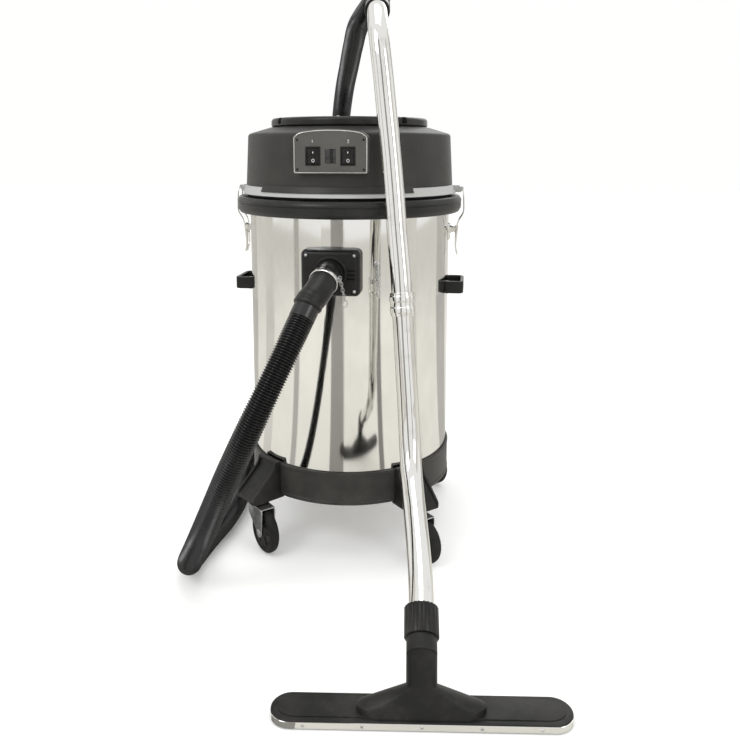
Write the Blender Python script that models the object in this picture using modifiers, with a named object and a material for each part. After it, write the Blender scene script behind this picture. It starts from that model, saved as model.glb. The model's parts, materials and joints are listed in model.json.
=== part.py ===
"""Wet and dry shop vacuum on four casters, with its hose, wand and floor tool.

Metres, +Z up, front towards -Y, +X to the front view's right. Everything is modelled
around the drum's axis, and the root empty then centres the whole on its footprint.
"""

from math import atan2, cos, pi, radians, sin

import bmesh
import bpy
from mathutils import Matrix, Vector

# Driving dimensions
GAP = 0.0003  # between pieces that touch
RUN = 0.0006  # between pieces that move on each other
SIDES = 40  # round a full drum

DRUM_R = 0.2200
DRUM_WALL = 0.0012
DRUM_H = 0.6080
RIM_OUT = 0.0275  # the bumper beyond the drum's wall
RIM_H = 0.0350
RIM_BELOW = 0.0190  # the bumper's foot below the drum's edge
SEAL_H = 0.0050
BASE_WALL = 0.0045
BASE_H = 0.0700
BASE_FLANGE = 0.0400
BASE_FLOOR = 0.0040

BAND_H = 0.0180
BAND_FLARE = 0.0080
HEAD_OUT = 0.0070  # the head beyond the drum's wall
HEAD_TAPER = 0.0054
HEAD_H = 0.1090
HEAD_WALL = 0.0030
SHOULDER_H = 0.0140
CROWN_IN = 0.0560  # the crown inside the head's wall
CROWN_H = 0.0190
CROWN_SLOT = 0.0110
CROWN_SLOT_ANGLE = 50

CASTER_ANGLE = 41
CASTER_OUT = 0.0360  # the swivel beyond the drum's wall
WHEEL_R = 0.0470
WHEEL_W = 0.0240
WHEEL_TRAIL = 0.0260
WHEEL_CLEAR = 0.0030  # over the tread, below the fork's crown
CASTER_TURN = 44  # where every wheel trails to, from the front towards +X
AXLE_R = 0.0040
FORK_T = 0.0025
RACE_H = 0.0107
BRACKET_W = 0.0640
BRACKET_OUT = 0.0340
BRACKET_T = 0.0075

HANDLE_DROP = 0.1820  # each of these drops is below the drum's edge
HANDLE_L = 0.0910
HANDLE_OUT = 0.0355
HANDLE_H = 0.0270
HANDLE_T = 0.0075

LATCH_DROP = 0.0630
LATCH_W = 0.0300
LATCH_H = 0.0360
LATCH_LEVER_L = 0.0560
PLATE_T = 0.0030
LEVER_OFF = 0.0088  # the lever's pin off the plate, so that the knuckle swings clear of it
PIN_R = 0.0018
BAIL_WIRE = 0.0014
BAIL_PIVOT_OUT = 0.0062
BAIL_PIVOT_UP = 0.0060
CATCH_OUT = 0.0045

INLET_DROP = 0.1220
INLET_W = 0.1170
INLET_H = 0.0920
INLET_OUT = 0.0330
INLET_BORE = 0.0210
ELBOW_REACH = Vector((-0.0240, -0.1030, -0.0460))  # from the inlet's face to the elbow's foot

PANEL_W = 0.1460
PANEL_H = 0.0850
PANEL_UP = 0.0294  # above the head's foot
PANEL_OUT = 0.0125
ROCKER_W = 0.0240
ROCKER_H = 0.0330
ROCKER_X = 0.0340
ROCKER_UP = 0.0340  # above the panel's foot

MOTOR_R = 0.0660
MOTOR_H = 0.0950
MOTOR_X = 0.0850
DECK_T = 0.0060
FILTER_R = 0.0950
FILTER_L = 0.1500
CAGE_R = 0.0500
CAGE_L = 0.1300
BALL_R = 0.0280

WAND_R = 0.0200
WAND_WALL = 0.0015
HOSE_R = 0.0240
ELBOW_WALL = 0.0022
NECK_WALL = 0.0035
TOOL_X, TOOL_OUT = 0.2080, 0.4025
TOOL_TURN = 5.9
TOOL_W = 0.4550
TOOL_D = 0.0620
TOOL_H = 0.0050
TOOL_CLEAR = 0.0090
HOUSING_W = 0.1960
HOUSING_D = 0.0480
SHOULDER_FROM, SHOULDER_TO = 0.12, 0.45
COLLAR_ABOVE, COLLAR_BELOW = 0.0160, 0.0300

# Centre line of the bent lower tube, from the floor tool's neck to the joint with the upper one.
# Y is measured from the bumper's front, so the wand leans on the bumper whatever its size.
LOWER_WAND_FROM_RIM = [
    (0.2040, -0.3505, 0.1260), (0.2010, -0.3145, 0.1480), (0.1950, -0.2675, 0.1730),
    (0.1870, -0.2175, 0.1990), (0.1780, -0.1675, 0.2270), (0.1710, -0.1285, 0.2560),
    (0.1660, -0.1005, 0.2920), (0.1620, -0.0845, 0.3370), (0.1580, -0.0745, 0.3900),
    (0.1530, -0.0645, 0.4500), (0.1478, -0.0540, 0.5200), (0.1448, -0.0480, 0.5600),
]
# Centre line of the upper tube, which leans on the bumper and bends back at its top.
UPPER_WAND_FROM_RIM = [
    (0.1446, -0.0476, 0.5626), (0.1400, -0.0385, 0.6200), (0.1320, -0.0225, 0.6900),
    (0.1250, -0.0085, 0.7600), (0.1170, 0.0005, 0.8400), (0.1080, 0.0075, 0.9200),
    (0.0990, 0.0145, 1.0000), (0.0920, 0.0235, 1.0500), (0.0870, 0.0415, 1.0850),
    (0.0830, 0.0675, 1.1080), (0.0795, 0.0975, 1.1180),
]
CUFF_L = 0.0700
CUFF_GRIP = 0.0220

# Centre line of the free hose, from the elbow on the inlet, over the floor and up behind the drum.
# Its last two points, at the cuff on the upper tube, follow from that tube.
HOSE_ROUTE = [
    (-0.0240, -0.3560, 0.5620), (-0.0520, -0.4060, 0.4900), (-0.0940, -0.4450, 0.3940),
    (-0.1400, -0.4560, 0.2940), (-0.1850, -0.4430, 0.1960), (-0.2260, -0.4130, 0.1130),
    (-0.2580, -0.3700, 0.0560), (-0.2760, -0.3100, 0.0280), (-0.2740, -0.2400, 0.0250),
    (-0.2670, -0.1700, 0.0250), (-0.2620, -0.1000, 0.0250), (-0.2700, 0.0000, 0.0250),
    (-0.2880, 0.1000, 0.0250), (-0.3000, 0.2000, 0.0250), (-0.2880, 0.3000, 0.0260),
    (-0.2450, 0.3800, 0.0350), (-0.1900, 0.4280, 0.0850), (-0.1500, 0.4460, 0.1700),
    (-0.1280, 0.4480, 0.2900), (-0.1160, 0.4400, 0.4200), (-0.1080, 0.4280, 0.5500),
    (-0.1010, 0.4120, 0.6800), (-0.0930, 0.3900, 0.8000), (-0.0800, 0.3500, 0.9050),
    (-0.0580, 0.2820, 0.9900), (-0.0304, 0.1978, 1.0520), (-0.0008, 0.1007, 1.1050),
    (0.0300, 0.0250, 1.1420),
]
HOSE_STEP = 0.0850

# Heights, stacked up from the wheels
AXLE_Z = WHEEL_R
FORK_TOP = 2 * WHEEL_R + WHEEL_CLEAR
BRACKET_BOTTOM = FORK_TOP + FORK_T + RACE_H + GAP
BASE_BOTTOM = BRACKET_BOTTOM + BRACKET_T
TOP_OF_BASE = BASE_BOTTOM + BASE_H
DRUM_BOTTOM = BASE_BOTTOM + BASE_FLOOR
DRUM_TOP = DRUM_BOTTOM + DRUM_H
RIM_BOTTOM = DRUM_TOP - RIM_BELOW
RIM_TOP = RIM_BOTTOM + RIM_H
BAND_BOTTOM = RIM_TOP + SEAL_H + 2 * GAP
HEAD_BOTTOM = BAND_BOTTOM + BAND_H
SHOULDER_Z = HEAD_BOTTOM + HEAD_H
CROWN_BOTTOM = SHOULDER_Z + SHOULDER_H
DECK_Z = BAND_BOTTOM + 0.004
HANDLE_Z = DRUM_TOP - HANDLE_DROP
LATCH_Z = DRUM_TOP - LATCH_DROP
INLET_Z = DRUM_TOP - INLET_DROP
PANEL_BOTTOM = HEAD_BOTTOM + PANEL_UP
ROCKER_Z = PANEL_BOTTOM + ROCKER_UP

# Radii and faces, out from the drum's wall
RIM_R = DRUM_R + RIM_OUT
HEAD_R = DRUM_R + HEAD_OUT
CROWN_R = HEAD_R - CROWN_IN
BASE_R = DRUM_R + GAP + BASE_WALL
CASTER_R = DRUM_R + CASTER_OUT
CATCH_R = RIM_R + CATCH_OUT
INLET_FACE = -(DRUM_R + INLET_OUT)
LEVER_PIN = Vector((DRUM_R + PLATE_T + LEVER_OFF, 0, LATCH_Z + 0.004))
BAIL_PIN = LEVER_PIN + Vector((BAIL_PIVOT_OUT, 0, BAIL_PIVOT_UP))

# The wand and its tool stand in front of the bumper
LOWER_WAND = [Vector((x, y - RIM_R, z)) for x, y, z in LOWER_WAND_FROM_RIM]
UPPER_WAND = [Vector((x, y - RIM_R, z)) for x, y, z in UPPER_WAND_FROM_RIM]
TOOL_Y = -(RIM_R + TOOL_OUT)
NECK_R = WAND_R + NECK_WALL
WAND_END = UPPER_WAND[-1]
WAND_AWAY = (WAND_END - UPPER_WAND[-2]).normalized()


# Scene, materials and small tools

for old in list(bpy.data.objects):
    bpy.data.objects.remove(old, do_unlink=True)

PARTS = bpy.data.collections.new("shop_vacuum")
CUTTERS = bpy.data.collections.new("cutters")
bpy.context.scene.collection.children.link(PARTS)
bpy.context.scene.collection.children.link(CUTTERS)

ROOT = bpy.data.objects.new("root_frame", None)
PARTS.objects.link(ROOT)

FINISHES = {
    "chrome": ((0.80, 0.80, 0.78), 0.10, 1.0),
    "zinc": ((0.62, 0.62, 0.60), 0.35, 1.0),
    "black_plastic": ((0.020, 0.020, 0.018), 0.40, 0.0),
    "dark_plastic": ((0.055, 0.055, 0.048), 0.45, 0.0),
    "grey_plastic": ((0.45, 0.46, 0.46), 0.45, 0.0),
    "rubber": ((0.015, 0.015, 0.015), 0.70, 0.0),
    "hose_black": ((0.018, 0.018, 0.017), 0.45, 0.0),
    "filter_paper": ((0.72, 0.70, 0.62), 0.90, 0.0),
    "motor_metal": ((0.30, 0.30, 0.31), 0.45, 0.8),
}


def finish_of(piece, finish):
    colour, roughness, metallic = FINISHES[finish]
    material = bpy.data.materials.new(f"{piece.name}_{finish}")
    material.use_nodes = True
    shader = material.node_tree.nodes["Principled BSDF"]
    shader.inputs["Base Color"].default_value = (*colour, 1.0)
    shader.inputs["Roughness"].default_value = roughness
    shader.inputs["Metallic"].default_value = metallic
    material.diffuse_color = (*colour, 1.0)
    piece.data.materials.clear()
    piece.data.materials.append(material)


def from_bmesh(name, bm, finish, smooth=35, centre=(0, 0, 0)):
    """A node whose mesh is given in drum coordinates and whose origin is moved to centre."""
    bmesh.ops.recalc_face_normals(bm, faces=bm.faces)
    if bm.calc_volume(signed=True) < 0:
        bmesh.ops.reverse_faces(bm, faces=bm.faces)
    bm.transform(Matrix.Translation(-Vector(centre)))
    mesh = bpy.data.meshes.new(name)
    bm.to_mesh(mesh)
    bm.free()
    mesh.shade_smooth()
    mesh.set_sharp_from_angle(angle=radians(smooth))
    piece = bpy.data.objects.new(name, mesh)
    piece.location = centre
    piece.parent = ROOT
    if finish:
        PARTS.objects.link(piece)
        finish_of(piece, finish)
    else:
        CUTTERS.objects.link(piece)
        piece.hide_render = True
        piece.display_type = "WIRE"
    return piece


def taken(other):
    """The bmesh of an object as it is evaluated, in drum coordinates."""
    bpy.context.view_layer.update()
    graph = bpy.context.evaluated_depsgraph_get()
    mesh = bpy.data.meshes.new_from_object(other.evaluated_get(graph))
    bm = bmesh.new()
    bm.from_mesh(mesh)
    bpy.data.meshes.remove(mesh)
    bm.transform(other.matrix_world)
    bmesh.ops.remove_doubles(bm, verts=bm.verts, dist=0.00001)
    return bm


def settled(helper):
    """The evaluated bmesh of a helper object, which is then removed."""
    bm = taken(helper)
    bpy.data.objects.remove(helper, do_unlink=True)
    return bm


def turned(profile, steps=SIDES):
    """Bmesh of (radius, height) pairs turned round Z. The profile ends on the axis or closes on itself."""
    mesh = bpy.data.meshes.new("profile")
    closed = min(r for r, _ in profile) > 0
    edges = [(i, i + 1) for i in range(len(profile) - 1)]
    edges += [(len(profile) - 1, 0)] if closed else []
    mesh.from_pydata([(r, 0, z) for r, z in profile], edges, [])
    helper = bpy.data.objects.new("profile", mesh)
    PARTS.objects.link(helper)
    screw = helper.modifiers.new("turn", "SCREW")
    screw.steps = screw.render_steps = steps
    screw.use_merge_vertices = True
    screw.merge_threshold = 0.00001
    return settled(helper)


def turned_along(profile, foot, direction, steps=24):
    """Bmesh of a turned profile that stands at foot and points along direction."""
    bm = turned(profile, steps)
    turn = Vector(direction).to_track_quat("Z", "Y").to_matrix().to_4x4()
    bm.transform(Matrix.Translation(foot) @ turn)
    return bm


def plate(outline, thickness):
    """Bmesh of a flat outline in XY, with its thickness centred on z = 0."""
    curve = bpy.data.curves.new("outline", "CURVE")
    curve.dimensions = "2D"
    curve.fill_mode = "BOTH"
    curve.extrude = thickness / 2
    spline = curve.splines.new("POLY")
    spline.points.add(len(outline) - 1)
    for point, (x, y) in zip(spline.points, outline):
        point.co = (x, y, 0, 1)
    spline.use_cyclic_u = True
    helper = bpy.data.objects.new("outline", curve)
    PARTS.objects.link(helper)
    return settled(helper)


def box(low, high, round_by=0.0, segments=2):
    """Bmesh of a box between two corners, with its edges rounded."""
    bm = bmesh.new()
    bmesh.ops.create_cube(bm, size=1.0)
    low, high = Vector(low), Vector(high)
    bm.transform(Matrix.Translation((low + high) / 2) @ Matrix.Diagonal((*(high - low), 1)))
    rounded(bm, round_by, segments)
    return bm


def rounded(bm, width, segments=2, angle=40):
    """Rounds every edge that is sharper than angle."""
    if width:
        edges = [e for e in bm.edges if e.is_manifold and e.calc_face_angle() > radians(angle)]
        bmesh.ops.bevel(
            bm, geom=edges, offset=width, segments=segments, profile=0.5, affect="EDGES",
            clamp_overlap=True,
        )
    return bm


def moved(bm, matrix):
    bm.transform(matrix)
    return bm


def combine(piece, tool_bm, operation="DIFFERENCE"):
    """Adds a Boolean modifier that cuts the tool from the piece, or joins it to the piece."""
    tool = from_bmesh(f"{piece.name}_{operation.lower()}_{len(piece.modifiers)}", tool_bm, None)
    cut = piece.modifiers.new(operation.lower(), "BOOLEAN")
    cut.operation = operation
    cut.solver = "EXACT"
    cut.object = tool
    return piece


def pin_solid(radius, start, end, steps=16):
    """Bmesh of a plain cylinder from start to end."""
    along = Vector(end) - Vector(start)
    profile = [(0, along.length), (radius, along.length), (radius, 0), (0, 0)]
    return turned_along(profile, start, along, steps)


def smooth_points(points, step):
    """Points a step apart on the Catmull-Rom curve through the given ones."""
    route = [Vector(p) for p in points]
    route = [2 * route[0] - route[1]] + route + [2 * route[-1] - route[-2]]
    fine = []
    for a, b, c, d in zip(route, route[1:], route[2:], route[3:]):
        for k in range(16):
            t = k / 16
            square, cube = 2 * a - 5 * b + 4 * c - d, 3 * b - a - 3 * c + d
            fine.append(0.5 * (2 * b + (c - a) * t + square * t**2 + cube * t**3))
    fine.append(route[-2])
    lengths = [0.0]
    for a, b in zip(fine, fine[1:]):
        lengths.append(lengths[-1] + (b - a).length)
    count = max(2, round(lengths[-1] / step))
    spaced, j = [], 0
    for i in range(count + 1):
        want = lengths[-1] * i / count
        while j < len(fine) - 2 and lengths[j + 1] < want:
            j += 1
        share = (want - lengths[j]) / (lengths[j + 1] - lengths[j])
        spaced.append(fine[j].lerp(fine[j + 1], share))
    return spaced


def tube_curve(name, points, radius, finish, resolution=3):
    """A round tube along points, as a curve object with filled caps."""
    curve = bpy.data.curves.new(name, "CURVE")
    curve.dimensions = "3D"
    curve.bevel_depth = radius
    curve.bevel_resolution = resolution
    curve.use_fill_caps = True
    spline = curve.splines.new("POLY")
    spline.points.add(len(points) - 1)
    for point, place in zip(spline.points, points):
        point.co = (*place, 1)
    tube = bpy.data.objects.new(name, curve)
    tube.parent = ROOT
    PARTS.objects.link(tube)
    if finish:
        finish_of(tube, finish)
    return tube


def tube_solid(points, radius, resolution=3):
    """Bmesh of a round tube along points."""
    return settled(tube_curve("tube", points, radius, None, resolution))


def hung(piece, parent):
    """Parents a piece to another without moving it."""
    bpy.context.view_layer.update()
    piece.parent = parent
    piece.matrix_parent_inverse = parent.matrix_world.inverted()
    return piece


def head_radius(z):
    """Outer radius of the head's wall at a height."""
    return HEAD_R - HEAD_TAPER * (z - HEAD_BOTTOM) / HEAD_H


def head_clearance():
    """A cutter of the head's outside, for what lies against its wall."""
    low, high = HEAD_BOTTOM - 0.02, SHOULDER_Z + 0.02
    r_high, r_low = head_radius(high) + GAP, head_radius(low) + GAP
    return turned([(0, high), (r_high, high), (r_low, low), (0, low)])


# Drum, base and rim

def make_drum():
    low, high, inner = DRUM_BOTTOM, DRUM_TOP, DRUM_R - DRUM_WALL
    floor = low + DRUM_WALL
    profile = [(0, floor), (inner, floor), (inner, high), (DRUM_R, high), (DRUM_R, low), (0, low)]
    drum = from_bmesh("drum", turned(profile), "chrome")
    bore = pin_solid(INLET_BORE + GAP, (0, -DRUM_R - 0.01, INLET_Z), (0, -DRUM_R + 0.02, INLET_Z), 24)
    combine(drum, bore)
    return drum


def make_rim():
    outer, inner, low, high = RIM_R, DRUM_R + GAP, RIM_BOTTOM, RIM_TOP
    profile = [
        (inner, low), (inner, DRUM_TOP + GAP), (inner - 0.006, DRUM_TOP + GAP), (inner - 0.006, high),
        (outer - 0.006, high), (outer - 0.0012, high - 0.004), (outer, high - 0.010), (outer, low + 0.009),
        (outer - 0.0060, low),
    ]
    from_bmesh("rim_bumper", turned(profile), "dark_plastic", 50)
    low = RIM_TOP + GAP
    inner, outer = DRUM_R - 0.0050, DRUM_R + 0.0060
    profile = [(inner, low), (inner, low + SEAL_H), (outer, low + SEAL_H), (outer, low)]
    from_bmesh("rim_seal", turned(profile), "rubber")


def make_base():
    inner, low, high = DRUM_R + GAP, BASE_BOTTOM, TOP_OF_BASE
    shelf = DRUM_BOTTOM - GAP
    profile = [
        (inner - BASE_FLANGE, low), (inner - BASE_FLANGE, shelf), (inner, shelf), (inner, high),
        (BASE_R, high), (BASE_R, low),
    ]
    from_bmesh("base_ring", turned(profile), "dark_plastic", 50)


CORNERS = {
    "front_left": -CASTER_ANGLE, "front_right": CASTER_ANGLE,
    "rear_left": -180 + CASTER_ANGLE, "rear_right": 180 - CASTER_ANGLE,
}


def outward(angle):
    """Unit vector away from the drum, at an angle in degrees from the front towards +X."""
    return Vector((sin(radians(angle)), -cos(radians(angle)), 0))


def make_bracket(corner, angle):
    """Box bracket under the base ring, with a sloping top and a lip that hugs the ring."""
    inner, outer, low = BASE_R - 0.012, CASTER_R + BRACKET_OUT, BRACKET_BOTTOM
    outline = [
        (inner, low), (outer - 0.004, low), (outer, low + 0.004), (outer, low + 0.016),
        (BASE_R + 0.014, TOP_OF_BASE - 0.012), (BASE_R + 0.009, TOP_OF_BASE + 0.0035),
        (inner, TOP_OF_BASE + 0.0035),
    ]
    bm = plate(outline, BRACKET_W)
    bm.transform(Matrix.Rotation(radians(90), 4, "X"))
    bm.transform(Matrix.Rotation(radians(angle - 90), 4, "Z"))
    bracket = from_bmesh(f"caster_bracket_{corner}", bm, "black_plastic")
    under, over, r = BASE_BOTTOM - GAP, TOP_OF_BASE + 0.02, BASE_R + GAP
    keep_clear = turned([(0, over), (r, over), (r, under), (0, under)])
    return combine(bracket, keep_clear)


def make_caster(corner, angle):
    """Fork with its stem, wheel and axle. The fork's origin is on its swivel, the wheel's on the axle."""
    swivel = outward(angle) * CASTER_R
    trail = Vector((sin(radians(CASTER_TURN)), -cos(radians(CASTER_TURN)), 0)) * WHEEL_TRAIL
    axle_way = Vector((0, 0, 1)).cross(trail).normalized()
    hub = Vector((swivel.x + trail.x, swivel.y + trail.y, AXLE_Z))
    top = BRACKET_BOTTOM - GAP
    turn = Matrix.Translation(Vector((hub.x, hub.y, 0))) @ Matrix.Rotation(atan2(-trail.x, trail.y), 4, "Z")
    half = WHEEL_W / 2 + RUN + 0.0015
    crown_low = FORK_TOP
    cheek = [
        (-0.008, AXLE_Z - 0.006), (-0.004, AXLE_Z - 0.009), (0.004, AXLE_Z - 0.009), (0.008, AXLE_Z - 0.006),
        (0.012, crown_low), (0.010, crown_low + FORK_T), (-WHEEL_TRAIL - 0.020, crown_low + FORK_T),
        (-WHEEL_TRAIL - 0.021, crown_low - 0.004), (-WHEEL_TRAIL - 0.015, crown_low - 0.026),
    ]
    upright = Matrix.Rotation(radians(90), 4, "Z") @ Matrix.Rotation(radians(90), 4, "X")
    fork = None
    for side in (-1, 1):
        bm = moved(plate(cheek, FORK_T), Matrix.Translation((side * (half + FORK_T / 2), 0, 0)) @ upright)
        if fork is None:
            fork = from_bmesh(f"caster_fork_{corner}", moved(bm, turn), "zinc", centre=(*swivel.xy, top))
        else:
            combine(fork, moved(bm, turn), "UNION")
    wide = half + FORK_T / 2
    crown = box((-wide, -WHEEL_TRAIL - 0.0195, crown_low), (wide, 0.0095, crown_low + FORK_T - 0.0001))
    combine(fork, moved(crown, turn), "UNION")
    race_low = crown_low + FORK_T - 0.0005
    combine(fork, pin_solid(0.017, (*swivel.xy, race_low), (*swivel.xy, top - 0.0015), 10), "UNION")
    combine(fork, pin_solid(0.010, (*swivel.xy, race_low), (*swivel.xy, top), 8), "UNION")
    reach = half + FORK_T + 0.004
    bore = pin_solid(AXLE_R + GAP, (hub - axle_way * reach), (hub + axle_way * reach), 8)
    combine(fork, bore)

    w, r = WHEEL_W / 2, WHEEL_R
    profile = [
        (AXLE_R + RUN, -w), (AXLE_R + RUN, w), (0.014, w), (0.016, w - 0.004), (r - 0.010, w - 0.003),
        (r, w - 0.006), (r, 0.006 - w), (r - 0.010, 0.003 - w), (0.016, 0.004 - w), (0.014, -w),
    ]
    wheel = from_bmesh(
        f"caster_wheel_{corner}", turned_along(profile[::-1], hub, axle_way, 20), "rubber", 50, centre=hub
    )
    hung(wheel, fork)
    head, length = AXLE_R + 0.0025, half + FORK_T + GAP
    profile = [
        (0, length + 0.003), (head, length + 0.003), (head, length), (AXLE_R, length), (AXLE_R, -length),
        (head, -length), (head, -length - 0.003), (0, -length - 0.003),
    ]
    axle = from_bmesh(f"caster_axle_{corner}", turned_along(profile, hub, axle_way, 8), "zinc", centre=hub)
    hung(axle, fork)


# Handles and latches, on both sides of the drum

SIDE_ANGLES = {"left": -90, "right": 90}


def drum_clearance(low, high):
    """A cutter of the drum's outside between two heights."""
    return turned([(0, high), (DRUM_R + GAP, high), (DRUM_R + GAP, low), (0, low)])


def make_handle(side, angle):
    """Carrying handle: a strap bent to a U in plan, with its two feet against the drum."""
    out, half, t = DRUM_R + HANDLE_OUT, HANDLE_L / 2, HANDLE_T
    foot = DRUM_R - 0.008
    outline = [
        (foot, -half), (out - 0.010, -half), (out - 0.003, -half + 0.003), (out, -half + 0.010),
        (out, half - 0.010), (out - 0.003, half - 0.003), (out - 0.010, half), (foot, half),
        (foot, half - t), (out - t - 0.004, half - t), (out - t, half - t - 0.005),
        (out - t, -half + t + 0.005), (out - t - 0.004, -half + t), (foot, -half + t),
    ]
    bm = rounded(plate(outline, HANDLE_H), 0.0018, 2, 60)
    bm.transform(Matrix.Translation((0, 0, HANDLE_Z)) @ Matrix.Rotation(radians(angle - 90), 4, "Z"))
    handle = from_bmesh(f"carry_handle_{side}", bm, "black_plastic")
    combine(handle, drum_clearance(HANDLE_Z - HANDLE_H, HANDLE_Z + HANDLE_H))


def sideways(side):
    """Matrix from a latch's own axes (X out of the drum, Z up) to the drum's."""
    return Matrix.Rotation(radians(SIDE_ANGLES[side] - 90), 4, "Z")


def make_latch(side):
    """Base plate with two ears, lever that turns on its pin, and wire bail that turns on the lever."""
    turn = sideways(side)
    face, ear = DRUM_R + PLATE_T, 0.0025
    half = LATCH_W / 2
    bm = box((DRUM_R - 0.004, -half, LATCH_Z - LATCH_H / 2), (face, half, LATCH_Z + LATCH_H / 2), 0.0008, 1)
    base = from_bmesh(f"latch_plate_{side}", moved(bm, turn), "chrome")
    for way in (-1, 1):
        y = way * (half - ear / 2)
        bm = box(
            (face - 0.001, y - ear / 2 + 0.0001, LEVER_PIN.z - 0.005),
            (LEVER_PIN.x + 0.0032, y + ear / 2 - 0.0001, LEVER_PIN.z + 0.0042),
        )
        combine(base, moved(bm, turn), "UNION")
    x, z = LEVER_PIN.x, LEVER_PIN.z
    pin = pin_solid(PIN_R, (x, -half + 0.001, z), (x, half - 0.001, z), 12)
    combine(base, moved(pin, turn), "UNION")
    combine(base, drum_clearance(LATCH_Z - LATCH_H, LATCH_Z + LATCH_H))

    inside = half - ear - RUN
    outline = [
        (x - 0.0042, z + 0.0022), (x - 0.0030, z - 0.0042), (x + 0.0030, z - 0.0050),
        (x + 0.0030, z - LATCH_LEVER_L + 0.012), (x + 0.0070, z - LATCH_LEVER_L),
        (x + 0.0092, z - LATCH_LEVER_L + 0.0005), (x + 0.0056, z - LATCH_LEVER_L + 0.013),
        (x + 0.0094, z + BAIL_PIVOT_UP - 0.0040), (x + 0.0100, z + BAIL_PIVOT_UP + 0.0020),
        (x + 0.0070, z + BAIL_PIVOT_UP + 0.0042), (x + 0.0030, z + BAIL_PIVOT_UP + 0.0020),
        (x, z + 0.0046),
    ]
    bm = plate(outline, 2 * inside)
    bm.transform(Matrix.Rotation(radians(90), 4, "X"))
    lever = from_bmesh(f"latch_lever_{side}", moved(bm, turn), "chrome", centre=turn @ LEVER_PIN)
    bore = pin_solid(PIN_R + GAP, (x, -half, z), (x, half, z), 12)
    combine(lever, moved(bore, turn))
    slot_for_bail = pin_solid(
        BAIL_WIRE + GAP, (BAIL_PIN.x, -half, BAIL_PIN.z), (BAIL_PIN.x, half, BAIL_PIN.z), 12
    )
    combine(lever, moved(slot_for_bail, turn))

    wide, top = inside + RUN + BAIL_WIRE, HEAD_BOTTOM - 0.0060
    px, pz = BAIL_PIN.x, BAIL_PIN.z
    rod = BAIL_WIRE
    clear = RIM_R + rod + 0.0035
    over = CATCH_R - 0.0035
    up = [
        (px, wide - 0.0030, pz), (px, wide + 0.0012, pz), (px + 0.0008, wide + 0.0030, pz + 0.0030),
        (px + 0.0050, wide + 0.0032, pz + 0.0150), (clear - 0.0010, wide + 0.0032, pz + 0.0290),
        (clear + 0.0010, wide + 0.0030, pz + 0.0420), (clear, wide + 0.0020, top - 0.0180),
        (clear - 0.0010, wide, top - 0.0070), (over + 0.0012, wide - 0.0030, top + 0.0002),
        (over, wide - 0.0080, top + 0.0020),
    ]
    path = up + [(out, -along, height) for out, along, height in reversed(up)]
    bm = tube_solid(path, rod, 1)
    bail = from_bmesh(f"latch_bail_{side}", moved(bm, turn), "chrome", 80, centre=turn @ BAIL_PIN)
    hung(bail, lever)

    catch_low = BAND_BOTTOM + 0.0010
    top_z = top + 0.0020
    outline = [
        (HEAD_R - 0.004, catch_low), (CATCH_R - 0.006, catch_low), (CATCH_R + 0.0005, top_z - 0.0065),
        (CATCH_R + 0.0005, top_z - rod - GAP - 0.0012), (over + 0.0006, top_z - rod - GAP),
        (over - 0.0042, top_z - rod - GAP), (over - 0.0052, top_z + 0.0020), (HEAD_R - 0.004, top_z + 0.0020),
    ]
    bm = plate(outline, 2 * (wide - 0.0105))
    bm.transform(Matrix.Rotation(radians(90), 4, "X"))
    catch = from_bmesh(f"latch_catch_{side}", moved(bm, turn), "grey_plastic")
    combine(catch, band_clearance())


# Inlet, elbow and their chains

HOSE_POINTS = smooth_points(HOSE_ROUTE, HOSE_STEP)
ELBOW_DOWN = (HOSE_POINTS[1] - HOSE_POINTS[0]).normalized()
ELBOW_END = Vector((0, INLET_FACE, INLET_Z)) + ELBOW_REACH - ELBOW_DOWN * GAP


def make_inlet():
    half_w, half_h = INLET_W / 2, INLET_H / 2
    front = INLET_FACE
    bm = box((-half_w, front, INLET_Z - half_h), (half_w, -DRUM_R + 0.030, INLET_Z + half_h), 0.011, 3)
    inlet = from_bmesh("inlet_box", bm, "black_plastic", 50)
    combine(inlet, drum_clearance(INLET_Z - INLET_H, INLET_Z + INLET_H))
    bore = pin_solid(INLET_BORE + GAP, (0, front - 0.02, INLET_Z), (0, 0, INLET_Z), 24)
    combine(inlet, bore)

    r, w = INLET_BORE, 0.0020
    back = -DRUM_R + 0.0120
    bend = [
        Vector((0, front - 0.0050, INLET_Z)), Vector((-0.0005, front - 0.0250, INLET_Z - 0.0005)),
        Vector((-0.0030, front - 0.0520, INLET_Z - 0.0080)),
        Vector((-0.0100, front - 0.0780, INLET_Z - 0.0240)), ELBOW_END - ELBOW_DOWN * 0.012,
    ]
    bend = [*smooth_points(bend, 0.0120), ELBOW_END]
    bm = tube_solid(bend, HOSE_R + ELBOW_WALL, 3)
    elbow = from_bmesh("hose_elbow", bm, "black_plastic", 50)
    spigot = pin_solid(r - RUN, (0, back + 0.010, INLET_Z), (0, front - 0.010, INLET_Z), 24)
    combine(elbow, spigot, "UNION")
    bore = pin_solid(r - RUN - w, (0, back + 0.020, INLET_Z), (0, front - 0.030, INLET_Z), 24)
    combine(elbow, bore)

    shell, floor, over = DRUM_R - DRUM_WALL - GAP, INLET_Z - 0.055, INLET_Z + 0.1
    bm = box((-0.040, -shell - 0.002, floor), (0.040, -shell + 0.040, INLET_Z + 0.040))
    deflector = from_bmesh("inlet_deflector", bm, "dark_plastic")
    hood = box((-0.037, -shell - 0.004, floor - 0.003), (0.037, -shell + 0.037, INLET_Z + 0.037))
    combine(deflector, hood)
    beyond, under = DRUM_R + 0.05, floor - 0.02
    combine(deflector, turned([(shell, over), (beyond, over), (beyond, under), (shell, under)]))
    return bend


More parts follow.
